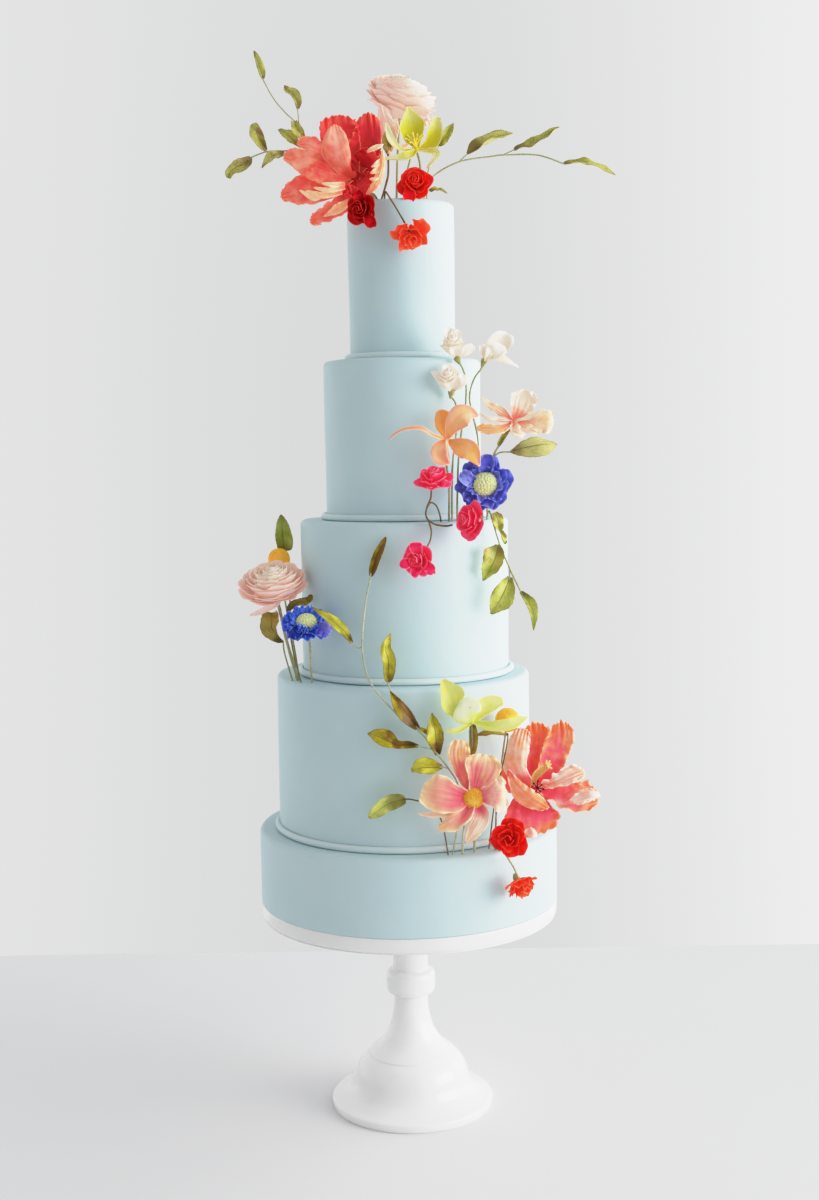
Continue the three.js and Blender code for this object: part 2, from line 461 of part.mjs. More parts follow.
      ["petal", 0, -0.25, 0.62, 1, "front", [62, -142.5, 434.5, 4, 4], [58.5, -150, 443, 14, 14.5],
        [57, -148, 452.5, 10, 16], [55, -144, 459.5, 4.5, 7.5]],
      ["petal", 0, 0.3, 0.62, 1, "front", [64, -141.5, 436.5, 2, 2], [78.5, -138, 448.5, 7.5, 4.5],
        [86, -138, 453.5, 6, 6.5], [93.5, -139, 454.5, 2, 3]],
      ["petal", 0, 0.25, 0.62, 1, "lifted", [64, -143, 435.5, 2, 2], [80.5, -152, 433, 5.5, 6.5],
        [96.5, -154, 434.5, 6, 8], [107, -150, 438, 4.5, 5.5], [116, -146, 441, 0.5, 0.5]],
      ["petal", 0, 0.3, 0.62, 1, "lifted", [62, -142.5, 434.5, 2, 2], [49, -148, 428, 3, 3.5],
        [37, -147, 428, 1, 1]],
      ["leaf", 9.5, 0.4, 0.45, 0.9, "front", [63, -142, 434.5], [63.5, -143, 415.5], [60.5, -142, 400]],
    ],
    wires: [
      [1.4, [62.5, -142, 436], [63, -142, 413.5], [63.5, -139, 383.5], [65, -138, 344],
        [64.5, -127.5, 305]],
    ],
  },
  craspedia_low: {
    kind: "ball", heart: [98.5, -112, 432], size: 12,
    wires: [
      [1, [98.5, -112, 432], [94.5, -104, 398.5], [88, -106, 351], [85.5, -112.5, 305]],
    ],
  },
  leaf_thin_brown: {
    kind: "branch", heart: [97.5, -136, 421.5],
    blades: [
      ["leaf", 5.5, 0.3, 0.4, 1, "lifted", [97.5, -136, 421.5], [82, -138, 423.5], [66, -136, 422]],
    ],
    wires: [
      [0.7, [95, -136.5, 422], [97.5, -136, 421.5], [95, -134, 404], [85, -128, 356], [79, -116.5, 305]],
    ],
  },
  cosmos_front: {
    kind: "cosmos", heart: [62, -160, 366], core: 4, disc: 9.5,
    blades: [
      ["petal", 0, 0.12, 0.62, 1, "front", [60.5, -160, 366.5, 3.5, 3.5], [46, -167, 368.5, 15, 10.5],
        [31.5, -170, 371.5, 17, 16], [21.5, -168, 373, 15, 15], [13, -164, 375, 8.5, 8.5]],
      ["petal", 0, 0.15, 0.62, 1, "front", [62, -160, 368, 3.5, 3.5], [66, -165, 383.5, 8.5, 11],
        [70, -165, 395.5, 16, 16.5], [72, -163, 403, 15, 14.5], [73, -160, 408.5, 8.5, 8.5]],
      ["petal", 0, 0.12, 0.62, 1, "front", [63.5, -160, 367, 3.5, 3.5], [78, -168, 371, 9.5, 11],
        [87.5, -170, 371.5, 15.5, 17], [95, -167, 371.5, 10.5, 9.5]],
      ["petal", 0, 0.15, 0.62, 1, "front", [61, -159, 367.5, 3, 3], [54, -154, 387, 6.5, 5.5],
        [50.5, -153, 404, 10.5, 9.5], [51, -153, 415, 10, 8.5], [51.5, -153, 420.5, 6.5, 5.5]],
      ["petal", 0, 0.15, 0.62, 1, "lifted", [62, -161, 364.5, 3.5, 3.5],
        [51.5, -169, 352.5, 9.5, 6.5], [40, -170, 345.5, 9.5, 7.5], [27.5, -165, 337.5, 3.5, 3]],
      ["petal", 0, 0.2, 0.62, 1, "lifted", [61, -159.5, 365, 2, 2], [40, -161, 352, 3.5, 3.5],
        [25, -160, 350, 3.5, 3], [9.5, -158, 351.5, 1, 1]],
      ["petal", 0, 0.3, 0.62, 1, "front", [63.5, -160.5, 364.5, 3.5, 3.5],
        [69.5, -166, 350.5, 7.5, 7.5], [62.5, -165, 336, 7, 6.5], [55, -158, 320.5, 1.5, 2]],
    ],
    wires: [
      [1.1, [62, -160, 366], [55.5, -152, 342.5], [52.5, -148, 324], [52.5, -135, 305]],
    ],
  },
  tulip_low: {
    kind: "tulip", heart: [123, -124, 366.5], core: 7,
    blades: [
      ["petal", 0, 0.3, 0.62, 1, "front", [122, -121, 367.5, 7.5, 5.5],
        [124.5, -110, 389.5, 12.5, 11.5], [127, -107, 409.5, 15.5, 14.5], [124.5, -110, 430, 14.5, 13.5]],
      ["petal", 0, 0.3, 0.62, 1, "front", [125, -121.5, 367, 5.5, 5.5],
        [138.5, -115, 381.5, 10.5, 12.5], [147, -112, 398.5, 12.5, 12.5], [152, -112, 415, 13.5, 14.5], [151.5, -115, 431.5, 11.5, 11.5]],
      ["petal", 0, -0.3, 0.62, 1, "front", [120.5, -123, 368, 5, 4], [108.5, -127, 387, 14.5, 9.5],
        [107.5, -130, 403.5, 12.5, 12.5], [110.5, -128, 417, 10.5, 11.5], [114, -124, 426.5, 8.5, 9.5]],
      ["petal", 0, 0.2, 0.62, 1, "lifted", [126, -124, 366, 2, 2], [144, -129, 373, 7.5, 5.5],
        [157.5, -130, 378.5, 13.5, 8.5], [172.5, -127, 382.5, 10.5, 5.5]],
      ["petal", 0, 0.25, 0.62, 1, "lifted", [126, -124.5, 365.5, 2, 3], [146, -131, 360, 10.5, 13.5],
        [164, -132, 358.5, 17, 20], [186, -128, 361.5, 13.5, 13.5]],
      ["petal", 0, -0.3, 0.62, 1, "front", [121, -126, 368, 4, 4], [109, -133, 372.5, 7.5, 5],
        [97.5, -132, 383.5, 3, 3]],
      ["petal", 0, -0.3, 0.62, 1, "front", [121, -126, 367.5, 5.5, 7.5],
        [117, -137, 360.5, 7.5, 10.5], [126.5, -140, 354.5, 6.5, 6.5], [136.5, -138, 348, 3, 4]],
      ["petal", 0, 0.15, 0.62, 1, "lifted", [121, -124.5, 364, 9.5, 9.5], [118.5, -130, 348, 25, 23],
        [119.5, -130, 334.5, 29.5, 29.5], [122, -124, 316, 19, 17]],
      ["petal", 0, 0.2, 0.62, 1, "front", [121, -121.5, 366, 3, 3], [103, -117, 373.5, 13.5, 8.5],
        [90.5, -115, 385, 6.5, 6.5]],
      ["pistil", 8.5, 0.9, 0.62, 1, "front", [121, -125.5, 368, 2.5, 2.5], [123.5, -133, 380.5, 4, 4],
        [129, -136, 387, 5, 5], [133.5, -138, 391, 4.5, 4.5]],
    ],
    wires: [
      [1.5, [123, -124, 366.5], [110, -116, 338], [95.5, -120, 319.5], [92.5, -109, 305]],
    ],
  },
  rose_low: {
    kind: "rose", heart: [96.5, -158, 325], size: 18, axis: [-0.2, -0.95, 0.1], turn: 25,
    wires: [
      [1, [96.5, -158, 325], [88.5, -140, 309], [86, -132, 311.5], [85, -119, 305]],
    ],
  },
  rose_low_hanging: {
    kind: "rose", heart: [108.5, -140, 272.5], size: 15.5, axis: [0.4, -0.5, -0.77], turn: 10,
    wires: [
      [1, [108.5, -140, 272.5], [106, -141, 282], [101.5, -142, 293], [95.5, -140, 302.5],
        [92, -134, 307], [91, -118, 305]],
    ],
  },
};

const COLOURS = {
  stand: "#f4f2ef", icing: "#bcd5da", board: "#cfe2e4",
  tulip_top: "#e8504a", ranunculus_top: "#f3c9c0", bloom_peach: "#f4a98e",
  hellebore_top: "#c3cf45", bloom_blush: "#f2b6ad", rose_top_right: "#d8141c",
  rose_top_left: "#cf1119", rose_top_hanging: "#e02a22", branch_left: "#8f9a3a",
  branch_right: "#8a9440", leaf_top_slim: "#7f8f3e", leaf_top_small: "#8c8a4a",
  leaf_low_left: "#8f9638", bud_upper_left: "#efe6da", bud_upper_right: "#f1eadf",
  bud_lower: "#f2e8e2", orchid: "#f09a4a", cosmos_side: "#f6c9a6", anemone_right: "#3b3fa8",
  rose_right_upper: "#d81e4e", rose_right_middle: "#dc2350", rose_right_lower: "#c8153f",
  vine_curl: "#6a5a42", branch_trailing: "#a3ab35", leaf_upright: "#8fa63c",
  craspedia_left: "#f0a22c", ranunculus_left: "#f2cfc8", leaf_curled: "#7c6a22",
  leaf_brown: "#7a5526", anemone_left: "#3440b4", vine_long: "#98993a", hellebore_low: "#c9d75a",
  craspedia_low: "#efb62e", leaf_thin_brown: "#6b5522", cosmos_front: "#ee9a86",
  tulip_low: "#f0604c", rose_low: "#dc1f1c", rose_low_hanging: "#e23322",
};

const LEDGES = Object.values(TIERS).map(([, , top]) => top);

// ---- helpers ----
const vec = (p) => new THREE.Vector3(...p);
const smooth = (path) => new THREE.CatmullRomCurve3(path, false, "catmullrom", 0.5);

// closed solid from a three.js geometry
function solid(geometry) {
  const bare = geometry.clone();
  bare.deleteAttribute("normal");
  bare.deleteAttribute("uv");
  const welded = mergeVertices(bare, 1e-4);
  const body = new wasm.Manifold(new wasm.Mesh({
    numProp: 3,
    vertProperties: new Float32Array(welded.attributes.position.array),
    triVerts: new Uint32Array(welded.index.array),
  }));
  return body;
}

// solid from its corners and triangles, turned to face out
function closed(place, index) {
  const geometry = new THREE.BufferGeometry();
  geometry.setAttribute("position", new THREE.Float32BufferAttribute(place, 3));
  geometry.setIndex(index);
  const body = solid(geometry);
  if (body.volume() > 0) return body;
  geometry.setIndex(index.slice().reverse());
  return solid(geometry);
}

function geometryOf(body) {
  const mesh = body.getMesh();
  const geometry = new THREE.BufferGeometry();
  geometry.setAttribute("position", new THREE.BufferAttribute(mesh.vertProperties, 3));
  geometry.setIndex(new THREE.BufferAttribute(mesh.triVerts, 1));
  geometry.computeVertexNormals();
  return geometry;
}

function turned(outline) {
  const lathe = new THREE.LatheGeometry(outline.map(([r, z]) => new THREE.Vector2(r, z)), AROUND);
  return solid(lathe.rotateX(Math.PI / 2));
}

function ellipsoid(centre, radii, axis = [0, 0, 1], detail = 1) {
  const ball = new THREE.IcosahedronGeometry(1, detail).scale(...radii);
  const turn = new THREE.Quaternion().setFromUnitVectors(vec([0, 0, 1]), vec(axis).normalize());
  return solid(ball.applyQuaternion(turn).translate(...centre));
}

// half width along a petal: power curve, 1 at the widest point, with a little root kept at the base
function halfWidth(u, peak, taper) {
  const curve = (u / peak) ** (taper * peak) * ((1 - u) / (1 - peak)) ** (taper * (1 - peak));
  return Math.max(curve, 0.06) + 0.16 * (1 - u) ** 4;
}

// Thin wavy solid along a midrib. Both faces share the rim and are split into triangles alike;
// the cross-section is thickest on the midrib and runs out at the rim.
function blade(points, facing, width, cup, peak, taper, rows) {
  const cols = 2;
  const rib = smooth(points.map(([x, y, z]) => vec([x, y, z])));
  const room = points[0].length > 3 && smooth(points.map(([, , , l, r]) => vec([l, r, 0])));
  const place = [];
  const sides = [[], []];
  for (let i = 0; i <= rows; i++) {
    sides.forEach((side, face) => {
      side.push([]);
      for (let j = 0; j <= cols; j++) {
        const v = (2 * j) / cols - 1;
        const u = (i / rows) * (room ? 1 - 0.12 * v * v : 1);
        const centre = rib.getPoint(u);
        const along = rib.getTangent(u);
        const up = vec(facing).addScaledVector(along, -along.dot(vec(facing))).normalize();
        const across = new THREE.Vector3().crossVectors(along, up);
        const given = room && room.getPoint(u);
        const half = room ? Math.max(v < 0 ? given.x : given.y, 0.3)
          : 0.5 * width * halfWidth(u, peak, taper);
        const rim = i === 0 || i === rows || j === 0 || j === cols;
        if (face === 1 && rim) {
          side[i].push(sides[0][i][j]);
          continue;
        }
        const lift = cup * half * v * v + (rim ? 0 : (face ? -0.5 : 0.5) * SHEET);
        const p = centre.clone().addScaledVector(across, half * v * (1 - 0.25 * Math.abs(cup)));
        p.addScaledVector(up, lift);
        side[i].push(place.length / 3);
        place.push(p.x, p.y, p.z);
      }
    });
  }
  const index = [];
  for (let i = 0; i < rows; i++) {
    for (let j = 0; j < cols; j++) {
      sides.forEach((side, face) => {
        const [a, b, c, d] = [side[i][j], side[i][j + 1], side[i + 1][j + 1], side[i + 1][j]];
        index.push(...(face ? [a, c, b, a, d, c] : [a, b, c, a, c, d]));
      });
    }
  }
  return closed(place, index);
}

// closed lobed head round an axis, four corners to a lobe
function head({ kind, heart, size, axis, turn }) {
  const out = vec(axis).normalize();
  const first = new THREE.Vector3().crossVectors(out, vec([0.12, 0.3, 1])).normalize();
  const second = new THREE.Vector3().crossVectors(out, first);
  const [lobes, ...rings] = HEADS[kind];
  const corners = 4 * lobes;
  const place = [];
  const starts = rings.map(([radius, height, reach, lift, shift]) => {
    const from = place.length / 3;
    for (let k = 0; k < (radius ? corners : 1); k++) {
      const angle = (turn * Math.PI) / 180 + (2 * Math.PI * k) / corners;
      const lobe = radius ? Math.cos((2 * Math.PI * k) / 4 + Math.PI * shift) : 0;
      const r = size * radius * (1 + (reach ?? 0) * lobe);
      const p = vec(heart).addScaledVector(out, size * (height + (lift ?? 0) * lobe));
      p.addScaledVector(first, r * Math.cos(angle)).addScaledVector(second, r * Math.sin(angle));
      place.push(p.x, p.y, p.z);
    }
    return from;
  });
  const index = [];
  for (let ring = 0; ring + 1 < rings.length; ring++) {
    const [a, b] = [starts[ring], starts[ring + 1]];
    for (let k = 0; k < corners; k++) {
      const n = (k + 1) % corners;
      if (ring === 0) index.push(a, b + k, b + n);
      else if (ring === rings.length - 2) index.push(b, a + n, a + k);
      else index.push(a + k, b + k, b + n, a + k, b + n, a + n);
    }
  }
  return closed(place, index);
}

// round wire through its points; an end on the icing stops just above it
function wire([radius, ...points]) {
  const path = points.map(vec);
  const end = path[path.length - 1];
  if (LEDGES.includes(end.z)) end.z += SETTLE + 0.6 * radius;
  const sides = radius < 0.9 && path.length < 9 ? 3 : 4;
  const ring = Array.from({ length: sides }, (_, k) => new THREE.Vector2(
    radius * Math.cos((2 * Math.PI * k) / sides), radius * Math.sin((2 * Math.PI * k) / sides)));
  return solid(new THREE.ExtrudeGeometry(new THREE.Shape(ring), {
    extrudePath: smooth(path),
    steps: path.length + (path.length > 4 ? 2 : 0),
    bevelEnabled: false,
  }));
}

// the joined solid without the specks that joining leaves behind
function oneBody(joined) {
  const [main, ...rest] = joined.decompose().sort((a, b) => b.volume() - a.volume());
  const loose = rest.filter((body) => body.volume() > 0.5);
  if (loose.length) {
    const at = loose.map((body) => body.boundingBox().min.map(Math.round).join(" "));
    throw new Error(`loose parts at ${at.join(", ")}`);
  }
  return main;
}

function flower(piece) {
  const { kind, heart, core, size, disc } = piece;
  const parts = kind in HEADS ? [head(piece)] : [];
  if (kind === "ball") parts.push(ellipsoid(heart, [size, size, size]));
  if (core) parts.push(ellipsoid(heart, [core, core, core], [0, 0, 1], 0));
  if (kind === "cosmos" && disc) {
    const centre = vec(heart).addScaledVector(vec(FACING.front), 2).toArray();
    parts.push(ellipsoid(centre, [disc, disc, 0.6 * disc], FACING.front));
  }
  for (const [kind, width, cup, peak, taper, facing, ...points] of piece.blades ?? []) {
    const widest = width || Math.max(...points.map(([, , , l, r]) => l + r));
    const rows = widest > 20 ? 4 : 3;
    parts.push(blade(points, FACING[facing], width, cup, peak, taper, rows));
  }
  parts.push(...(piece.wires ?? []).map(wire));
  return oneBody(wasm.Manifold.union(parts));
}

// ---- build ----
const bodies = { stand: [turned(STAND), COLOURS.stand, 0.22] };
Object.entries(TIERS).forEach(([name, [radius, low, high, aside]], level) => {
  const foot = level ? low + BOARD_HEIGHT : low;
  const edge = [0, 45, 90].map((a) => (a * Math.PI) / 180).map((a) => [
    radius - TIER_EDGE * (1 - Math.cos(a)), high - TIER_EDGE * (1 - Math.sin(a))]);
  const wall = turned([[0, foot], [radius, foot], ...edge, [0, high]]);
  bodies[name] = [wall.translate([aside, 0, 0]), COLOURS.icing, 0.55];
  if (!level) return;
  const reach = radius + BOARD_REACH;
  const band = turned([[0, low], [reach - 1.5, low], [reach, low + 0.45 * BOARD_HEIGHT],
    [reach - 1.5, foot], [0, foot]]);
  bodies[`board_under_${name}`] = [band.translate([aside, 0, 0]), COLOURS.board, 0.55];
});
for (const [name, piece] of Object.entries(PIECES)) {
  bodies[name] = [flower(piece), COLOURS[name], 0.6];
}

const cake = new THREE.Group();
cake.name = "tiered_cake";
for (const [name, [body, colour, roughness]] of Object.entries(bodies)) {
  const material = new THREE.MeshStandardMaterial({ color: colour, roughness, metalness: 0 });
  const mesh = new THREE.Mesh(geometryOf(body), material);
  mesh.name = name;
  cake.add(mesh);
}

export default cake;
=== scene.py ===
import math
import bpy
import numpy as np
from mathutils import Matrix, Vector


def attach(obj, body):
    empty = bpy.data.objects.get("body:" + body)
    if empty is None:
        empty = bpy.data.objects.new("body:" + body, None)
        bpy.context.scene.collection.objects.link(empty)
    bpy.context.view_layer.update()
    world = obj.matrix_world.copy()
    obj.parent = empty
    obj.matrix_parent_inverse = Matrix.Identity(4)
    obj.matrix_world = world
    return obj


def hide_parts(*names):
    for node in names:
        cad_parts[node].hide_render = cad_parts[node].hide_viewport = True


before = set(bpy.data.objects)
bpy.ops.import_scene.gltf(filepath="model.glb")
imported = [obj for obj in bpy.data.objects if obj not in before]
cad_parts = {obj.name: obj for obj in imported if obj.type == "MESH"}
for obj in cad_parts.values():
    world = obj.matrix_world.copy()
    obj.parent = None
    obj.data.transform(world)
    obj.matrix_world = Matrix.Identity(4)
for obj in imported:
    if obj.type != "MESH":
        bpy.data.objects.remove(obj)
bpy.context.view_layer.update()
scene = bpy.context.scene
mm = 0.001
noRim = 9.0                     # mm to the rim that a form without one reports

# the camera stands in front, a little above the middle of the cake; metres
camera = {
    "place": (0.004534, -1.618986, 0.700664),
    "tiltDown": 0.0989,         # radians below level
    "roll": -0.0144,            # radians
    "lens": 46.837,             # mm on a 36 mm long side
}
cosTilt, sinTilt = math.cos(camera["tiltDown"]), math.sin(camera["tiltDown"])
forward = Vector((0, cosTilt, -sinTilt))
level, upright = Vector((1, 0, 0)), Vector((0, sinTilt, cosTilt))
right = level * math.cos(camera["roll"]) + upright * math.sin(camera["roll"])
above = upright * math.cos(camera["roll"]) - level * math.sin(camera["roll"])
lensData = bpy.data.cameras.new("camera")
lensData.lens, lensData.sensor_width, lensData.sensor_fit = camera["lens"], 36, "AUTO"
lensData.clip_start, lensData.clip_end = 0.05, 50
cameraObject = bpy.data.objects.new("camera", lensData)
turn = Matrix((right, above, -forward)).transposed().to_4x4()
cameraObject.matrix_world = Matrix.Translation(camera["place"]) @ turn
scene.collection.objects.link(cameraObject)
scene.camera = cameraObject


def tint(code):                 # linear colour from a #rrggbb code
    parts = [int(code[k:k + 2], 16) / 255 for k in (1, 3, 5)]
    linear = [p / 12.92 if p <= 0.04045 else ((p + 0.055) / 1.055) ** 2.4 for p in parts]
    return (*linear, 1.0)


class Signal:
    # one node's output, used in sums: an operator on it adds the Math node that it means
    def __init__(self, socket):
        self.socket = socket

    # any other node: its type, its settings, then the values or links of its sockets
    def node(self, kind, settings, values, out=0):
        tree = self.socket.id_data
        made = tree.nodes.new(kind)
        for name, setting in settings.items():
            setattr(made, name, setting)
        for name, value in values.items():
            if isinstance(value, Signal):
                tree.links.new(value.socket, made.inputs[name])
            else:
                made.inputs[name].default_value = tint(value) if isinstance(value, str) else value
        if isinstance(out, tuple):
            return [Signal(made.outputs[k]) for k in out]
        return Signal(made.outputs[out])

    def math(self, operation, *values):
        return self.node("ShaderNodeMath", {"operation": operation}, dict(enumerate(values)))

    def __add__(self, other):
        return self.math("ADD", self, other)

    def __sub__(self, other):
        return self.math("SUBTRACT", self, other)

    def __rsub__(self, other):
        return self.math("SUBTRACT", other, self)

    def __mul__(self, other):
        return self.math("MULTIPLY", self, other)

    __radd__, __rmul__ = __add__, __mul__

    # soft step: 0 below low, 1 above high
    def step(self, low, high):
        return self.node("ShaderNodeMapRange", {"interpolation_type": "SMOOTHSTEP"},
                         {0: self, 1: low, 2: high, 3: 0.0, 4: 1.0})

    # colour mixed towards another by this share
    def mix(self, first, second):
        return self.node("ShaderNodeMix", {"data_type": "RGBA"}, {0: self, 6: first, 7: second}, 2)

    # noise read at this place: scale in repeats a metre, or a unit of the surface map
    def noise(self, scale, detail=2.0):
        return self.node("ShaderNodeTexNoise", {}, {"Vector": self, "Scale": scale,
                                                    "Detail": detail})

    def attribute(self, name):
        return self.node("ShaderNodeAttribute", {"attribute_name": name}, {}, 2)


# a new material: constants go on the shader's own sockets. Returns it, its shader and its places
def startMaterial(name, roughness, specular, coat=0.0, coatRoughness=0.1):
    made = bpy.data.materials.new(name)
    made.use_nodes = True
    shader = made.node_tree.nodes["Principled BSDF"]
    shader.inputs["Roughness"].default_value = roughness
    shader.inputs["Specular IOR Level"].default_value = specular
    shader.inputs["Coat Weight"].default_value = coat
    shader.inputs["Coat Roughness"].default_value = coatRoughness
    places = made.node_tree.nodes.new("ShaderNodeTexCoord")
    return made, shader, Signal(places.outputs["Object"])


# colour, roughness where it varies, and height in metres into the shader
def dress(made, shader, colour, roughness, height, strength):
    bump = height.node("ShaderNodeBump", {}, {"Height": height, "Strength": strength,
                                              "Distance": 1.0})
    for signal, name in ((colour, "Base Color"), (roughness, "Roughness"), (bump, "Normal")):
        if signal is not None:
            made.node_tree.links.new(signal.socket, shader.inputs[name])
    return made


# a mesh object from parts, each with its places in mm, its faces (-1 where a face has no fourth
# corner), its own maps and its material
def makePiece(name, nodes, parts):
    places, faces, which, surface, marks = [], [], [], [], []
    materials, start = [], 0
    for part in parts:
        count = len(part["places"])
        if part["material"] not in materials:
            materials.append(part["material"])
        places.append(part["places"])
        faces.append(np.where(part["faces"] < 0, -1, part["faces"] + start))
        which.append(np.full(len(part["faces"]), materials.index(part["material"])))
        surface.append(part.get("map", np.zeros((count, 2))))
        marks.append(part["marks"])
        start += count
    places, faces = np.concatenate(places) * mm, np.concatenate(faces)
    surface, marks = np.concatenate(surface), np.concatenate(marks)
    corners = faces[faces >= 0]
    counts = (faces >= 0).sum(1)
    mesh = bpy.data.meshes.new(name)
    mesh.vertices.add(len(places))
    mesh.vertices.foreach_set("co", places.ravel())
    mesh.loops.add(len(corners))
    mesh.loops.foreach_set("vertex_index", corners)
    mesh.polygons.add(len(faces))
    mesh.polygons.foreach_set("loop_start", np.concatenate([[0], np.cumsum(counts)[:-1]]))
    mesh.polygons.foreach_set("material_index", np.concatenate(which))
    mesh.update(calc_edges=True)
    mesh.uv_layers.new(name="surface").data.foreach_set("uv", surface[corners].ravel())
    for k, mark in enumerate(("rim", "tone", "under", "warm", "deep")):
        mesh.attributes.new(mark, "FLOAT", "POINT").data.foreach_set("value", marks[:, k].copy())
    mesh.shade_smooth()
    mesh.set_sharp_from_angle(angle=math.radians(50))
    for material in materials:
        mesh.materials.append(material)
    piece = bpy.data.objects.new(name, mesh)
    scene.collection.objects.link(piece)
    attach(piece, "root")
    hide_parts(*nodes)


def grid(rows, columns):        # u runs from 0 to 1 along, v from -1 to 1 across
    return np.meshgrid(np.linspace(0, 1, rows), np.linspace(-1, 1, columns), indexing="ij")


def unit(vector):
    return vector / np.maximum(np.linalg.norm(vector, axis=-1, keepdims=True), 1e-9)


def quads(index):               # faces between the rows and columns of a table of corners
    return np.stack([index[:-1, :-1], index[:-1, 1:], index[1:, 1:], index[1:, :-1]],
                    -1).reshape(-1, 4)


# uniform Catmull-Rom through the points, with the end points reflected
def alongCurve(points, u):
    p = np.array(points, float)
    spans = len(p) - 1
    p = np.vstack([2 * p[0] - p[1], p, 2 * p[-1] - p[-2]])
    k = np.clip((u * spans).astype(int), 0, spans - 1)
    w = (u * spans - k)[..., None]
    a, b, c, d = p[k], p[k + 1], p[k + 2], p[k + 3]
    return 0.5 * (2 * b + (c - a) * w + (2 * a - 5 * b + 4 * c - d) * w ** 2
                  + (3 * b - a - 3 * c + d) * w ** 3)


def slopeOf(points, u):         # unit tangent of that curve
    return unit(alongCurve(points, u + 0.004) - alongCurve(points, u - 0.004))


# a sum of slow waves in two directions with random phases, about -1 to 1
def ripple(a, b, rng, low, high, waves=5):
    turns = rng.uniform(low, high, (waves, 2)) * rng.choice([-1, 1], (waves, 2))
    phases = rng.uniform(0, 2 * math.pi, waves)
    total = sum(np.sin(2 * math.pi * (f * a + g * b) + p)
                for (f, g), p in zip(turns, phases))
    return total / math.sqrt(waves)


def notches(x, count, rng):     # uneven scallops: 0 in the middle of each lobe, 1 in each cut
    t = x * count + 0.3 * np.sin(2 * math.pi * x * rng.uniform(1, 3) + rng.uniform(0, 6))
    beside = np.abs(((t + rng.uniform(0, 1)) % 1) * 2 - 1)
    return 1 - np.sqrt(1 - 0.97 * beside ** 2)


# a closed sheet: a mid surface pushed both ways along its normal, the two faces sharing the rim
def thinSheet(mid, thickness, u, v, rimDistance, look, material):
    rows, columns = mid.shape[:2]
    normal = unit(np.cross(np.gradient(mid, axis=1), np.gradient(mid, axis=0)))
    inside = np.ones((rows, columns), bool)
    inside[[0, -1]] = inside[:, [0, -1]] = False
    taper = np.clip(rimDistance / (0.8 * thickness), 0, 1) ** 0.6
    lift = normal * (0.5 * thickness * np.where(inside, 0.3 + 0.7 * taper, 0))[..., None]
    index = np.arange(rows * columns).reshape(rows, columns)
    below = index.copy()
    below[inside] = rows * columns + np.arange(inside.sum())
    flat = np.stack([u, (v + 1) / 2], -1)
    marks = np.stack([rimDistance] + [look.get(mark, 0) * np.ones_like(u)
                                      for mark in ("tone", "under", "warm", "deep")], -1)
    marksBelow = marks.copy()
    marksBelow[..., 2] = 1
    return {
        "places": np.concatenate([(mid + lift).reshape(-1, 3), (mid - lift)[inside]]),
        "faces": np.concatenate([quads(index), quads(below)[:, ::-1]]),
        "map": np.concatenate([flat.reshape(-1, 2), flat[inside]]),
        "marks": np.concatenate([marks.reshape(-1, 5), marksBelow[inside]]),
        "material": material,
    }


# a closed turned form: rings of places whose first and last ring shrink to a point
def roundForm(rings, material):
    rows, sides = rings.shape[:2]
    index = np.arange((rows - 2) * sides).reshape(rows - 2, sides) + 2
    wrapped = np.concatenate([index, index[:, :1]], 1)
    low = np.stack([np.zeros(sides, int), wrapped[0, 1:], wrapped[0, :-1],
                    np.full(sides, -1)], -1)
    high = np.stack([np.ones(sides, int), wrapped[-1, :-1], wrapped[-1, 1:],
                     np.full(sides, -1)], -1)
    places = np.concatenate([rings[:1].mean(1), rings[-1:].mean(1),
                             rings[1:-1].reshape(-1, 3)])
    return {"places": places, "faces": np.concatenate([quads(wrapped), low, high]),
            "marks": np.tile([noRim, 0.0, 0.0, 0.0, 0.0], (len(places), 1)), "material": material}


def frameOf(axis):              # two unit directions square to an axis, and the axis itself
    out = unit(np.array(axis, float))
    first = unit(np.cross(out, (0.12, 0.3, 1.0)))
    return first, np.cross(out, first), out


# circle of unit directions about an axis, as an array of sides by 3, and the axis itself
def spokes(axis, sides, start=0.0):
    first, second, out = frameOf(axis)
    angle = start + np.linspace(0, 2 * math.pi, sides, endpoint=False)
    return np.cos(angle)[:, None] * first + np.sin(angle)[:, None] * second, out


# tube along a path: radius times a circle square to the path, ends drawn to a point
def tube(points, radius, material, sides=10, step=2.0, swell=0.06, seed=1):
    rng = np.random.default_rng(seed)
    p = np.array(points, float)
    length = np.linalg.norm(np.diff(p, axis=0), axis=1).sum()
    u = np.linspace(0, 1, max(int(length / step), 8))
    centre, along = alongCurve(p, u), slopeOf(p, u)
    _, _, main = np.linalg.svd(along)
    across = unit(np.cross(along, main[2]))
    other = np.cross(along, across)
    angle = np.linspace(0, 2 * math.pi, sides, endpoint=False)
    circle = np.cos(angle)[:, None] * across[:, None] + np.sin(angle)[:, None] * other[:, None]
    width = radius * (1 + swell * ripple(u * length / 18, u, rng, 0.3, 1.0))
    rings = centre[:, None] + circle * width[:, None, None]
    first = centre[:1, None] - along[:1, None] * 0.3 * radius + 0 * circle[:1]
    last = centre[-1:, None] + along[-1:, None] * 0.3 * radius + 0 * circle[:1]
    return roundForm(np.concatenate([first, rings, last]), material)


# half width along a petal: 1 at its widest point, a power curve to both ends, a little root
def halfWidth(u, peak, taper):
    inside = np.clip(u, 1e-4, 1 - 1e-4)
    curve = ((inside / peak) ** (taper * peak)
             * ((1 - inside) / (1 - peak)) ** (taper * (1 - peak)))
    return np.maximum(curve, 0.05) + 0.16 * (1 - u) ** 4


# which way the upper face of a petal or leaf looks
facing = {"front": (0, -1, 0.15), "up": (0, -0.45, 0.9), "lifted": (0, -0.75, 0.65)}
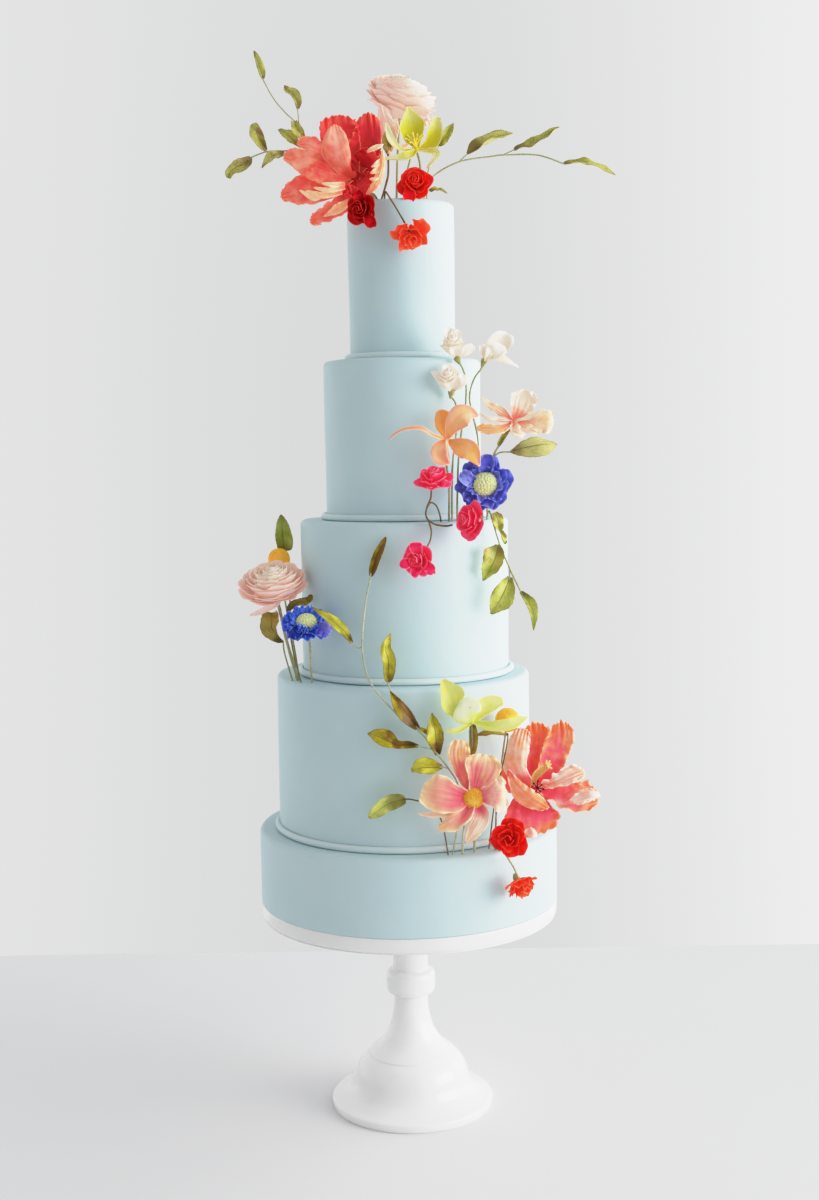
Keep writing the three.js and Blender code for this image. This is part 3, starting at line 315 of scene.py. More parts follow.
# shape of each kind of petal, in mm unless it says otherwise: what every kind has, then what is its
# own. cup: rise of the sides for their width; arc: share that the tip's corners fall back; blunt:
# share of the outline cut at the tip; frill and waves: rim wave height and number; tooth and teeth:
# notch depth and number; rib and ribs: lengthwise pleats; crumple: slow unevenness; fold: a crease
# along the middle; curl: how far the tip bends back; roll: the sides; skew: the halves' difference;
# tone, warm and deep: shares of the pale, warm and heart colours
# on petals the heart colour, pushed out by deep, is partly the petal's own darker base and partly painted
# shade in the flower's cup
plainPetal = dict(face="front", cup=0.2, rows=28, columns=21, arc=0, blunt=0.05, waves=1, tooth=0,
                  teeth=1, ribs=3, fold=0, curl=1, roll=0, skew=0.12, twist=0, thick=0.8,
                  tone=0, warm=0, deep=0, under=0)
petalForms = {
    "tulip": dict(rows=60, columns=49, arc=0.24, blunt=0.07, frill=2.6, waves=5, tooth=2.2, teeth=8,
                  rib=0.35, ribs=6, crumple=1.8, curl=2, roll=1),
    "hellebore": dict(columns=19, blunt=0.01, frill=0.5, waves=1.2, rib=0.12, ribs=4, crumple=0.5,
                      fold=0.12, curl=0.5, thick=0.9, cup=0.3),
    "orchid": dict(rows=30, blunt=0.01, frill=0.4, rib=0.06, crumple=0.5, fold=0.06, curl=0.5,
                   roll=0.6, thick=1, cup=0.15),
    "cosmos": dict(rows=44, columns=41, arc=0.12, frill=1.7, waves=3.4, tooth=1.8, teeth=5,
                   rib=0.35, ribs=9, crumple=1.5, roll=0.5, thick=0.7),
    "bud": dict(arc=0.12, frill=0.7, waves=1.5, rib=0.08, crumple=0.6, roll=0.8, cup=0.4),
    "leaf": dict(rows=44, blunt=0, frill=1.8, waves=2.4, tooth=0.7, teeth=9, rib=0, ribs=1,
                 crumple=1.4, fold=0.3, curl=1.5, thick=0.7, skew=0.25, peak=0.45, taper=1.55),
    "pistil": dict(rows=20, columns=15, frill=0.3, rib=0.1, ribs=2, crumple=0.2, curl=0, thick=1.2,
                   cup=0.9),
}
petalForms["fringe"] = {**petalForms["tulip"], **dict(
    paste="fringe", cup=-0.2, rows=34, columns=21, arc=0.1, frill=1, tooth=1, teeth=4, rib=0.2,
    crumple=1.2, tone=0.4, warm=0.3)}
petalForms["rose"] = {**petalForms["leaf"], **dict(
    cup=0.3, arc=0.1, crumple=1.2, fold=0, frill=1.3, teeth=4, tooth=0.4)}
petalForms["anemone"] = {**petalForms["rose"], **dict(cup=0.2, crumple=1)}


# petal or leaf along a midrib: the midrib's point, plus the cross direction times half the
# outline's width times v, plus cup, pleats, crumple and rim waves along the face's direction. The
# half width comes from halfWidth, or from the points where those hold it left and right as well
def blade(points, form, seed, material):
    rng = np.random.default_rng(seed)
    u, v = grid(form["rows"], form["columns"])
    u = u ** 0.9
    length = np.linalg.norm(np.diff(points[:, :3], axis=0), axis=1).sum()
    edge = np.abs(v)
    tips = form["tooth"] * notches((v + 1) / 2, form["teeth"], rng) / length
    reach = u * (1 - form["arc"] * v ** 2) - tips * u ** 6
    if "width" in form:
        half = 0.5 * form["width"] * halfWidth(reach * (1 - form["blunt"]), form["peak"],
                                               form["taper"])
    else:
        given = alongCurve(points[:, 3:], reach)
        half = np.where(v < 0, given[..., 0], given[..., 1])
    points = points[:, :3]
    skew = 1 + form["skew"] * rng.uniform(-1, 1) * np.sign(v)
    half = np.maximum(half * skew, 0.12) - form["tooth"] * 0.7 * edge ** 8 * np.where(
        v > 0, notches(u, form["teeth"], rng), notches(u, form["teeth"], rng)) * (
        np.clip(u * 4, 0, 1) * np.clip(half / 3, 0, 1))
    centre, along = alongCurve(points, reach), slopeOf(points, reach)
    look = np.array(facing[form["face"]], float)
    up = unit(look - along * (along @ look)[..., None])
    turned = math.radians(form["twist"]) * (u - 0.3)
    up = up * np.cos(turned)[..., None] + np.cross(along, up) * np.sin(turned)[..., None]
    across = np.cross(along, up)
    wave = np.where(v > 0, ripple(u * form["waves"], 0 * u, rng, 0.6, 1.2, 3),
                    ripple(u * form["waves"], 0 * u, rng, 0.6, 1.2, 3)) * edge ** 3
    wave = wave + ripple(v * form["waves"] / 2, 0 * u, rng, 0.6, 1.2, 3) * u ** 5 * (
        form["arc"] > 0)
    lift = form["cup"] * half * v ** 2
    lift = lift + form["fold"] * half * (np.sqrt(v ** 2 + 0.01) - 0.1)
    lift = lift + form["frill"] * wave * np.clip(half / 5, 0.2, 1)
    lift = lift + form["rib"] * ripple(v * form["ribs"] / 3, u * 0.4, rng, 0.6, 1.2, 4) * np.sin(
        math.pi * u ** 0.8)
    lift = lift + form["crumple"] * ripple(u, v / 2, rng, 0.3, 1.1) * np.sin(math.pi * u) ** 0.5
    lift = lift - form["curl"] * np.clip((u - 0.7) / 0.3, 0, 1) ** 2
    lift = lift - form["roll"] * np.clip((edge - 0.6) / 0.4, 0, 1) ** 2 * np.sin(math.pi * u)
    sideways = half * v * (1 - 0.25 * abs(form["cup"]))
    mid = centre + across * sideways[..., None] + up * lift[..., None]
    rimDistance = np.minimum(half * (1 - edge), length * (1 - u) * (0.4 + form["blunt"] * 9))
    return thinSheet(mid, form["thick"], u, v, rimDistance, form, material)


# petal of a round flower: a patch of a bowl about the flower's axis. Going along the petal the
# radius grows as a power of u and the height as another; the rim flares out and waves
def bowlPetal(heart, axis, size, ring, angle, seed, material, tone):
    rng = np.random.default_rng(seed)
    u, v = grid(*ring["cells"])
    u = u ** 0.85
    first, second, out = frameOf(axis)
    notch = ring["tooth"] * notches((v + 1) / 2, ring["teeth"], rng)
    q = u * (1 - ring["arc"] * np.abs(v) ** ring["point"]) - notch * u ** 6
    turnBy = angle + 0.5 * math.radians(ring["spread"]) * v * (0.3 + 0.7 * np.sqrt(u))
    radius = ring["low"][0] + (ring["rim"][0] - ring["low"][0]) * q ** ring["power"][0]
    height = ring["low"][1] + (ring["rim"][1] - ring["low"][1]) * q ** ring["power"][1]
    bend = np.clip((q - 0.6) / 0.4, 0, 1) ** 2
    wave = ripple(v * ring["waves"], 0.3 * u, rng, 0.5, 1.2, 4)
    radius = radius + ring["flare"] * bend + ring["tuck"] * v * u
    height = height - ring["flare"] * ring["droop"] * bend
    height = height + ring["frill"] * wave * u ** 3
    radius = radius + ring["frill"] * 0.7 * ripple(v * 1.3, 0.5 * u, rng, 0.4, 1.0, 4) * u ** 2
    direction = np.cos(turnBy)[..., None] * first + np.sin(turnBy)[..., None] * second
    mid = np.array(heart, float) + size * (radius[..., None] * direction
                                           + height[..., None] * out)
    arcLength = size * math.radians(ring["spread"]) * 0.5 * np.maximum(radius, 0.1)
    rimDistance = np.minimum(arcLength * (1 - np.abs(v)), size * 0.8 * (1 - u))
    return thinSheet(mid, ring["thick"], u, v, rimDistance, {**ring, "tone": tone}, material)


# a knob covered in small domes: a flattened ball whose radius rises at each point of a spiral
# lattice, fading from the point by the cosine of the angle between them
def beadedBall(heart, axis, size, flatness, beads, bead, height, material, cells):
    rng = np.random.default_rng(3)
    spoke, out = spokes(axis, cells[1])
    polar = np.linspace(0, math.pi, cells[0])[::-1]
    way = (np.sin(polar)[:, None, None] * spoke + np.cos(polar)[:, None, None] * out)
    k = np.arange(beads) + 0.5
    z = 1 - 2 * k / beads
    spin = k * math.pi * (3 - math.sqrt(5))
    lattice = np.stack([np.sqrt(1 - z * z) * np.cos(spin), np.sqrt(1 - z * z) * np.sin(spin), z],
                       -1)
    lattice = unit(lattice + rng.normal(0, 0.25 * bead, lattice.shape))
    lattice = lattice @ np.stack(frameOf(axis))
    nearest = (way.reshape(-1, 3) @ lattice.T).max(1).reshape(way.shape[:2])
    gap = np.arccos(np.clip(nearest, -1, 1))
    dome = np.sqrt(np.clip(1 - (gap / bead) ** 2, 0, 1))
    rise = 1 + height * dome
    along = (way @ out)[..., None] * out
    shaped = (way - along) + along * flatness
    return roundForm(np.array(heart, float) + size * shaped * rise[..., None], material)


# icing: rolled sugar paste, satin, with a slow change of tone and the faint waves of a smoother, and
# painted shade darkening it into the gaps beside a band
def pasteMaterial(name, look):
    made, shader, place = startMaterial(name, look["roughness"], specular=look["specular"])
    slow, cloud, grain = place.noise(4, 2), place.noise(26, 3), place.noise(1500, 2)
    colour = slow.step(0.35, 0.65).mix(look["colour"], look["second"])
    colour = (cloud.step(0.45, 0.75) * 0.35).mix(colour, look["third"])
    # painted shade: near a rim the paste turns towards the crease shade colour, darkest in the gap
    creaseShade = 1 - place.attribute("rim").step(0.2, look["crease"])
    colour = (creaseShade * 0.8).mix(colour, look["creaseShadeColour"])
    height = cloud * 0.0003 + place.noise(9, 1) * 0.0012 + grain * 0.000012
    return dress(made, shader, colour, cloud * 0.12 + (look["roughness"] - 0.06), height, 0.7)


pasteLooks = {                  # crease: mm over which a band is painted darker into the gaps at its foot and top, as painted shade
    "icing": dict(colour="#c2d9dd", second="#bdd7dc", third="#cbdde0", roughness=0.5,
                  specular=0.4, crease=0.21, creaseShadeColour="#c2d9dd"),
    "band": dict(colour="#d2e3e5", second="#cee1e4", third="#d8e6e7", roughness=0.48,
                 specular=0.4, crease=1.3, creaseShadeColour="#5f9dac"),
}
icing, bandPaste = [pasteMaterial(name, look) for name, look in pasteLooks.items()]


# glazed white stoneware: near white, a little cooler and rougher where the glaze pools
def glazeMaterial():
    made, shader, place = startMaterial("whiteGlaze", 0.16, specular=0.5, coat=0.35,
                                        coatRoughness=0.08)
    pool, cloud = place.noise(16, 3), place.noise(70, 2)
    colour = pool.step(0.35, 0.7).mix("#f4f3f2", "#eeeeee")
    colour = (cloud.step(0.6, 0.8) * 0.3).mix(colour, "#e6e7e8")
    height = pool * 0.0004 + cloud * 0.00005
    return dress(made, shader, colour, pool * 0.1 + 0.12, height, 0.5)


# florist's wire in paper tape: the tape's turns run round it, greener and browner by stretches
def tapeMaterial(name, first, second, third):
    made, shader, place = startMaterial(name, 0.6, specular=0.3)
    stretch, fleck, turns = place.noise(45, 3), place.noise(420, 3), place.noise(900, 1)
    colour = stretch.step(0.35, 0.65).mix(first, second)
    colour = (fleck.step(0.5, 0.7) * 0.6).mix(colour, third)
    return dress(made, shader, colour, fleck * 0.2 + 0.5, turns * 0.0004 + fleck * 0.0003, 0.6)


# dusted sugar petal: heart to body to tip along it, warm and pale patches by the petal's own
# shares of them, fine lengthwise streaks, an uneven tinted rim, and its own underside
# lift: strength of the petal's painted glow, a faint constant emission
petalBase = dict(heartReach=0.35, tipStart=0.7, rimWidth=1.4, rimShare=0.7, hemWidth=5,
                 hemShare=0.0, streaks=16, streakShare=0.25, underShare=0.4, spot=0.06,
                 roughness=0.6, specular=0.15, blotch=60, relief=1.0, wander=0.5, lift=0.0)


def petalMaterial(name, own):
    look = {**petalBase, **own}
    made, shader, place = startMaterial(name, look["roughness"], specular=look["specular"])
    # painted glow: a faint constant emission in the back colour lightens the petal's shade
    shader.inputs["Emission Color"].default_value = tint(look["under"])
    shader.inputs["Emission Strength"].default_value = look["lift"]   # painted glow standing in for light through thin paste
    surface = place.node("ShaderNodeUVMap", {"uv_map": "surface"}, {})
    u, v = place.node("ShaderNodeSeparateXYZ", {}, {0: surface}, (0, 1))
    tone, rim, under, warm, reach = [place.attribute(mark) for mark in (
        "tone", "rim", "under", "warm", "deep")]
    lines = place.node("ShaderNodeCombineXYZ", {}, {0: u * 1.3, 1: v * look["streaks"],
                                                    2: tone * 5 + warm * 3})
    streak, cloud, grain = lines.noise(1.0, 3), place.noise(look["blotch"], 3), place.noise(1600)
    mottle = place.noise(look["blotch"] * 2.6, 3)
    # how far along, made uneven, then the shares of the colours laid over one another
    along = u + (cloud - 0.5) * look["wander"] + (streak - 0.5) * 0.35
    # heart colour over the petal's base, further out where marked deep: partly the petal's own darker
    # base, partly painted shade in the flower's cup
    deep = 1 - (along - reach).step(0.0, look["heartReach"])
    colour = along.step(look["tipStart"], 1.0).mix(look["body"], look["tip"])
    hem = 1 - (rim + (mottle - 0.5) * 5 + (streak - 0.5) * 5).step(0, look["hemWidth"])
    colour = (hem * look["hemShare"]).mix(colour, look["tip"])
    share = ((mottle - 0.5) * 1.5 + (cloud - 0.5) * 0.8 + warm).step(0.25, 0.85)
    colour = share.mix(colour, look["warm"])
    share = ((cloud - 0.5) * 1.4 + tone).step(0.1, 0.95) * (1 - deep * 0.6)
    colour = share.mix(colour, look["pale"])
    colour = deep.mix(colour, look["heart"])
    colour = (streak.step(0.52, 0.75) * look["streakShare"]).mix(colour, look["streak"])
    edge = 1 - (rim + (mottle - 0.5) * 2.2 * look["rimWidth"]
                + (streak - 0.5) * look["rimWidth"]).step(0.0, look["rimWidth"])
    colour = (edge * look["rimShare"]).mix(colour, look["rim"])
    colour = (under * look["underShare"]).mix(colour, look["under"])
    colour = (grain.step(0.6, 0.75) * look["spot"]).mix(colour, look["streak"])
    height = (streak * 0.0003 + mottle * 0.0006 + grain * 0.00004) * look["relief"]
    return dress(made, shader, colour, cloud * 0.2 + (look["roughness"] - 0.1), height, 0.6)


# sugar leaf: two greens in clouds, browned by the leaf's own share and most on one half, a dark
# midrib, uneven side veins, dark base, tip and rim
leafBase = dict(veins=7, veinShare=0.2, ribShare=0.6, rimWidth=0.9, rimShare=0.6,
                baseReach=0.3, tipStart=0.8, baseShare=0.7, tipShare=0.4)


def leafMaterial(name, own):
    look = {**leafBase, **own}
    made, shader, place = startMaterial(name, 0.42, specular=0.4)
    surface = place.node("ShaderNodeUVMap", {"uv_map": "surface"}, {})
    u, v = place.node("ShaderNodeSeparateXYZ", {}, {0: surface}, (0, 1))
    tone, rim, under, warm, deep = [place.attribute(mark) for mark in (
        "tone", "rim", "under", "warm", "deep")]
    cloud, fine, grain = place.noise(60, 3), place.noise(150, 2), place.noise(1500)
    side = place.math("ABSOLUTE", v - 0.5)       # 0 on the midrib, 0.5 at the rim
    along = place.node("ShaderNodeCombineXYZ", {}, {0: u * 5, 1: v * 14, 2: tone * 5})
    wave = place.math("SINE", (u * look["veins"] - side * 6 + (cloud - 0.5) * 3
                               + (fine - 0.5) * 0.9) * 6.283)           # radians a turn
    vein = wave.step(0.6, 1.0) * side.step(0.02, 0.1) * fine.step(0.35, 0.6)
    # greens, brown clouds, dark base, brown tip, then veins, midrib and rim
    colour = cloud.step(0.4, 0.6).mix(look["first"], look["second"])
    colour = tone.mix(colour, look["pale"])
    colour = (fine.step(0.45, 0.75) * 0.4).mix(colour, look["third"])
    half = v.step(0.3, 0.75) * (1.2 - u)
    burnt = ((cloud - 0.5) * 2.2 + (fine - 0.5) * 0.8 + warm * 1.4 - 0.65 + half * 0.9 * warm)
    colour = (burnt.step(0.0, 0.6) * 0.9).mix(colour, look["brown"])
    colour = ((1 - (u - deep + (cloud - 0.5) * 0.7).step(0.0, look["baseReach"]))
              * look["baseShare"]).mix(colour, look["dark"])
    colour = ((u + (cloud - 0.5) * 0.6).step(look["tipStart"], 1.05)
              * look["tipShare"]).mix(colour, look["brown"])
    colour = (vein * look["veinShare"]).mix(colour, look["dark"])
    colour = ((1 - side.step(0.01, 0.05)) * (1 - u.step(0.5, 1.0)) * look["ribShare"]
              ).mix(colour, look["dark"])
    edge = 1 - (rim + (fine - 0.5) * 2.5 * look["rimWidth"]).step(0.0, look["rimWidth"])
    colour = (edge * look["rimShare"]).mix(colour, look["brown"])
    colour = (under * 0.35).mix(colour, look["pale"])
    height = (vein * -0.0002 + side.step(0.0, 0.05) * 0.0004 + cloud * 0.0009
              + along.noise(1.0, 2) * 0.0002 + grain * 0.00002)
    return dress(made, shader, colour, cloud * 0.25 + 0.3, height, 0.8)


# grained sugar: the tops of the grains one colour, the gaps between them another, darker as painted
# shade, with a slow drift and a faint painted glow in the gap colour
def grainMaterial(name, top, gap, drift, scale, lift):
    made, shader, place = startMaterial(name, 0.7, specular=0.25)
    # painted glow: a faint constant emission in the gap colour lightens the shade
    shader.inputs["Emission Color"].default_value = tint(gap)
    shader.inputs["Emission Strength"].default_value = lift
    cell = place.node("ShaderNodeTexVoronoi", {}, {"Vector": place, "Scale": scale})
    cloud, fleck = place.noise(120, 3), place.noise(1400, 2)
    # painted shade: the colour darkens away from each grain's middle into the gaps
    colour = cell.step(0.15, 0.6).mix(top, gap)
    colour = (cloud.step(0.4, 0.65) * 0.6).mix(colour, drift)
    height = cell * -0.0005 + fleck * 0.0001
    return dress(made, shader, colour, cloud * 0.2 + 0.6, height, 0.6)


# form turned about an axis from its radius and height pairs, made smooth by a curve through them
def turnedForm(base, axis, outline, material, sides=48, smooth=4):
    outline = np.array(outline, float)
    shape = outline
    if smooth > 1:
        curve = alongCurve(outline, np.linspace(0, 1, (len(outline) - 1) * smooth + 1))
        shape = np.clip(curve, outline.min(0), outline.max(0))
    spoke, out = spokes(axis, sides)
    rings = np.array(base, float) + shape[:, :1, None] * spoke + shape[:, 1:, None] * out
    return roundForm(rings, material)


standOutline = [                # radius and height, from the foot up to the plate
    (0, 0), (60, 0), (82.5, 0), (84.9, 0.9), (85.6, 2.6), (85.6, 5.4), (84.9, 7.6), (82.5, 9),
    (78, 10.8), (74, 13), (70, 15.6), (66.5, 18.5), (63.9, 22), (61.8, 26), (60.5, 30),
    (59.6, 34), (58.6, 38), (57, 42), (55, 45.6), (52.5, 49), (49.6, 52), (46.6, 54.4),
    (46.0, 54.8), (45.8, 55.6), (45.6, 56.6), (43.4, 58.4), (40.5, 60.5), (37, 63.3), (34, 66),
    (30.2, 70.6), (27, 76), (23.8, 82.2), (21.5, 89), (19.6, 96.8), (18.4, 105), (17.9, 112),
    (17.8, 119), (20, 119.8), (24, 121.5), (25.4, 124.4), (25.9, 128), (25.9, 138), (25.3, 141.6),
    (24, 144), (20.4, 145.6), (18.7, 147), (18.6, 155), (18.7, 175), (18.9, 194), (20.6, 199),
    (24, 203), (34, 205.6), (60, 207.4), (105, 209), (150, 210.5), (153.4, 211.6), (155, 213.6),
    (155.5, 216), (155.5, 219), (155.5, 224), (155.2, 225.8), (154, 227), (120, 227), (0, 227),
]
glaze = glazeMaterial()
makePiece("standPiece", ["stand"],
          [turnedForm((0, 0, 0), (0, 0, 1), standOutline, glaze, sides=160, smooth=4)])
print("stand done")

# radius, height of the underside, height of the top, sideways set-off
tiers = {
    "tier_1_bottom": (156, 227, 305, 0), "tier_2": (131.3, 305, 466.5, -3.5),
    "tier_3": (107.2, 466.5, 625.5, 0), "tier_4": (80.3, 625.5, 786.5, 0),
    "tier_5_top": (54.2, 786.5, 943, 1),
}
# edge: round of the top edge; rise: underside above a band's foot; reach: band past the wall
icingShape = {"edge": 5.0, "rise": 5.6, "reach": 5.3, "uneven": 0.22, "bandUneven": 0.16,
              "sides": 256}
# a band's rolled edge, from its foot round to its inside: mm in from its reach, mm up
bandEdge = [(2.6, 0.05), (1.9, 0.35), (0.8, 1.0), (0.2, 2.1), (0, 3.3), (0.2, 4.5), (0.8, 5.6),
            (1.8, 6.4), (3.0, 6.8), (4.2, 6.8), (5.0, 6.3), (5.6, 5.4)]
bandInside = 5.2                # height of the hidden top of a band
creaseInside = [2.0, 0.9, 0.3, 0.2]   # mm to the gap above a band, for its last rings, where the painted crease shade darkens it


# one tier: rings of a rounded profile, the wall a little out of true as hand-smoothed paste is
def icedRings(outline, aside, uneven, seed):
    rng = np.random.default_rng(seed)
    spoke, out = spokes((0, 0, 1), icingShape["sides"])
    around = np.linspace(0, 1, icingShape["sides"], endpoint=False)[None, :]
    radius, height = np.array(outline, float).T[:, :, None] + 0 * around
    waver = sum(rng.uniform(-1, 1) * np.sin(2 * math.pi * (k * around + rng.uniform(0, 1)
                                                           + height / rng.uniform(90, 300)))
                for k in (2, 3, 4, 6, 9))
    outer = np.clip(radius / radius.max() * 8 - 7, 0, 1)
    radius = radius + uneven * (waver - 0.5) * outer
    height = height + uneven * 0.7 * np.roll(waver, 40, 1) * np.clip(
        (height - height.min()) / 40 - 0.5, 0, 1) * np.clip(radius / 20, 0, 1)
    return np.array((aside, 0, 0)) + radius[..., None] * spoke + height[..., None] * out


for seed, (name, (radius, low, high, aside)) in enumerate(tiers.items()):
    edge, foot = icingShape["edge"], low
    if name != "tier_1_bottom":
        foot = low + icingShape["rise"]
    turnUp = [(radius - 0.9, foot), (radius - 0.25, foot + 0.35), (radius, foot + 1.0)]
    wall = [(radius, z) for z in np.linspace(foot + 1.6, high - edge - 1, 22)]
    lip = [(radius - edge * (1 - math.cos(a)), high - edge * (1 - math.sin(a)))
           for a in np.linspace(0, math.pi / 2, 9)]
    top = [(r, high) for r in np.linspace(radius - edge - 3, 2, 9)]
    outline = [(0, foot), (radius * 0.6, foot), *turnUp, *wall, *lip, *top, (0, high)]
    rings = icedRings(outline, aside, icingShape["uneven"], 20 + seed)
    rings[..., 2] = np.minimum(rings[..., 2], high + 0.4)
    makePiece(name.replace("_", "") + "Icing", [name], [roundForm(rings, icing)])
    if name == "tier_1_bottom":
        continue
    reach = radius + icingShape["reach"]
    roll = [(0, low), (radius * 0.7, low), *[(reach - inward, low + up) for inward, up in bandEdge],
            (radius * 0.7, low + bandInside), (0, low + bandInside)]
    rings = icedRings(roll, aside, icingShape["bandUneven"], 40 + seed)
    rings[..., 2] = np.maximum(rings[..., 2], low)
    band = roundForm(rings, bandPaste)
    height = np.array([z - low for r, z in roll[1:-1]])
    # the band's rim marks: mm to the gaps at its foot and top, which the paste's painted shade darkens
    crease = np.minimum(height, np.array([noRim] * 10 + creaseInside))
    band["marks"][2:, 0] = np.repeat(crease, icingShape["sides"])
    makePiece(name.replace("_", "") + "Band", ["board_under_" + name], [band])
print("tiers done")

# a ring of petals of a round flower of unit radius. spread: degrees that a petal spans; low and
# rim: radius and height of its foot and rim; power: how those grow along it; flare and droop: the
# rim bending out and down; arc and point: how its corners fall back; tuck: one side in; turn:
# degrees
ringNames = ("count", "spread", "low", "rim", "power", "flare", "arc", "frill", "tuck", "turn",
             "tone", "warm")


def ring(*values, **own):
    return {**dict(zip(ringNames, values)), **own}


plainRing = dict(warm=0, thick=0.55, tooth=0, teeth=3, point=2.2, waves=1.3, droop=0.7, cells=(15, 17))
ringKinds = {                   # what all rings of a kind share
    "rose": dict(cells=(21, 25)),
    "looseRose": dict(point=1.5, waves=1.8),
    "ranunculus": dict(droop=0.1, waves=1.2, cells=(21, 29)),
    "anemone": dict(teeth=3, tooth=0.04, cells=(29, 33)),
}
roundFlowers = {
    "rose": [
        ring(4, 118, (0.05, -0.5), (0.92, 0.02), (0.6, 1.5), 0.16, 0.34, 0.06, 0.07, 0, 0.25, 0.3,
             droop=0.9),
        ring(4, 112, (0.05, -0.45), (0.72, 0.3), (0.55, 1.5), 0.12, 0.3, 0.05, 0.08, 45, 0.1, 0.2,
             droop=0.5),
        ring(3, 150, (0.05, -0.3), (0.5, 0.5), (0.45, 1.3), 0.04, 0.24, 0.04, 0.1, 10, 0, 0.1, droop=0.4),
        ring(3, 160, (0.05, -0.2), (0.31, 0.6), (0.4, 1.2), -0.03, 0.2, 0.03, 0.09, 60, 0.1, 0.3,
             droop=-0.2, cells=(17, 21)),
        ring(2, 240, (0.03, -0.1), (0.13, 0.62), (0.4, 1), -0.02, 0.16, 0.015, 0.05, 0, 0.1, 0.5,
             droop=-0.2, cells=(17, 25)),
    ],
    "looseRose": [
        ring(3, 112, (0.05, -0.5), (0.98, 0), (0.6, 1.5), 0.18, 0.4, 0.12, 0.1, 0, 0.3, 0.2, droop=0.9,
             cells=(23, 29)),
        ring(3, 118, (0.05, -0.45), (0.8, 0.3), (0.55, 1.5), 0.14, 0.36, 0.11, 0.1, 62, 0.1, 0.2,
             droop=0.5, cells=(23, 29)),
        ring(3, 140, (0.05, -0.3), (0.52, 0.52), (0.45, 1.3), 0.06, 0.3, 0.09, 0.12, 20, 0, 0.1,
             droop=0.4, point=1.6, waves=1.6, cells=(21, 27)),
        ring(2, 200, (0.04, -0.2), (0.26, 0.66), (0.4, 1.1), 0, 0.24, 0.05, 0.08, 60, 0.1, 0.4, droop=0,
             point=1.6, cells=(19, 27), waves=1.3),
    ],
    "ranunculus": [
        ring(5, 92, (0.08, -0.62), (0.84, -0.24), (1, 1), 0.08, 0.3, 0.024, 0.05, 0, 0, 0.3),
        ring(5, 96, (0.08, -0.58), (0.98, -0.06), (0.9, 1.1), 0.08, 0.3, 0.026, 0.05, 33, 0, 0.1),
        ring(5, 96, (0.1, -0.5), (1.02, 0.09), (0.8, 1.25), 0.04, 0.27, 0.022, 0.05, 8, 0.1),
        ring(5, 98, (0.1, -0.4), (0.98, 0.21), (0.6, 1.5), 0.02, 0.25, 0.02, 0.05, 38, 0.15),
        ring(6, 84, (0.1, -0.3), (0.9, 0.31), (0.55, 1.5), 0, 0.22, 0.016, 0.05, 12, 0.25),
        ring(6, 84, (0.1, -0.15), (0.79, 0.39), (0.5, 1.5), -0.01, 0.2, 0.014, 0.05, 42, 0.35),
        ring(5, 102, (0.1, 0), (0.67, 0.45), (0.45, 1.4), -0.03, 0.18, 0.012, 0.05, 16, 0.5),
        ring(5, 104, (0.1, 0.08), (0.54, 0.5), (0.4, 1.3), -0.05, 0.16, 0.01, 0.05, 46, 0.6),
        ring(4, 125, (0.1, 0.15), (0.4, 0.53), (0.4, 1.2), -0.06, 0.14, 0.01, 0.05, 20, 0.8),
        ring(4, 125, (0.08, 0.2), (0.27, 0.55), (0.4, 1.1), -0.06, 0.12, 0.008, 0.05, 50, 0.9),
        ring(3, 165, (0.04, 0.25), (0.14, 0.56), (0.4, 1), -0.04, 0.1, 0.006, 0.05, 10, 1),
    ],
    "anemone": [
        ring(6, 80, (0.15, -0.16), (0.98, 0.06), (0.85, 1.5), 0.02, 0.3, 0.11, 0.06, 0, 0.1, waves=2),
        ring(6, 76, (0.15, -0.08), (0.84, 0.26), (0.8, 1.3), -0.02, 0.28, 0.12, 0.06, 30, 0, waves=2.1),
        ring(7, 66, (0.2, 0), (0.6, 0.4), (0.7, 1.2), 0.02, 0.2, 0.11, 0.05, 10, 0.3, 0.2, waves=2.3,
             tooth=0.05, cells=(21, 27)),
    ],
}


def wholeFlower(kind, heart, axis, size, turn, material, seed):
    rng = np.random.default_rng(seed)
    loose = 0.12 if kind == "looseRose" else 0.05
    made = []
    for row in roundFlowers[kind]:
        for k in range(row["count"]):
            angle = math.radians(turn + row["turn"]) + 2 * math.pi * k / row["count"]
            uneven = {**plainRing, **ringKinds[kind], **row,
                      "rim": (row["rim"][0] * rng.uniform(1 - loose, 1 + loose),
                              row["rim"][1] + rng.uniform(-loose, loose) * 0.6)}
            made.append(bowlPetal(heart, axis, size, uneven,
                                  angle + 2 * loose * rng.uniform(-1, 1),
                                  int(rng.integers(1e6)), material,
                                  min(row["tone"] + rng.uniform(0, 0.15), 1)))
    return made


# thin filaments fanned about an axis, each with a small grain on its end
def filaments(heart, foot, axis, count, length, spread, radius, material, grain, seed):
    rng = np.random.default_rng(seed)
    heart = heart + foot
    spoke, out = spokes(axis, count, rng.uniform(0, 6))
    made = []
    for side in spoke:
        lean = math.radians(spread) * rng.uniform(0.5, 1.1)
        way = out * math.cos(lean) + side * math.sin(lean)
        tip = heart + way * length * rng.uniform(0.75, 1.1)
        middle = heart + (way + out * 0.35) * length * 0.45
        made.append(tube([heart, middle, tip], radius, material, sides=6, step=1.2))
        outline = [(0, -grain), (grain * 0.6, -grain * 0.7), (grain * 0.75, 0),
                   (grain * 0.5, grain * 0.8), (0, grain)]
        made.append(turnedForm(tip, way, outline, material, sides=8, smooth=2))
    return made


# colours along a petal from heart to tip, of its rim, warm and pale patches, streaks and back
shadeNames = ("heart", "body", "tip", "rim", "warm", "pale", "streak", "under")


def shades(*codes, **own):
    return {**dict(zip(shadeNames, codes)), **own}


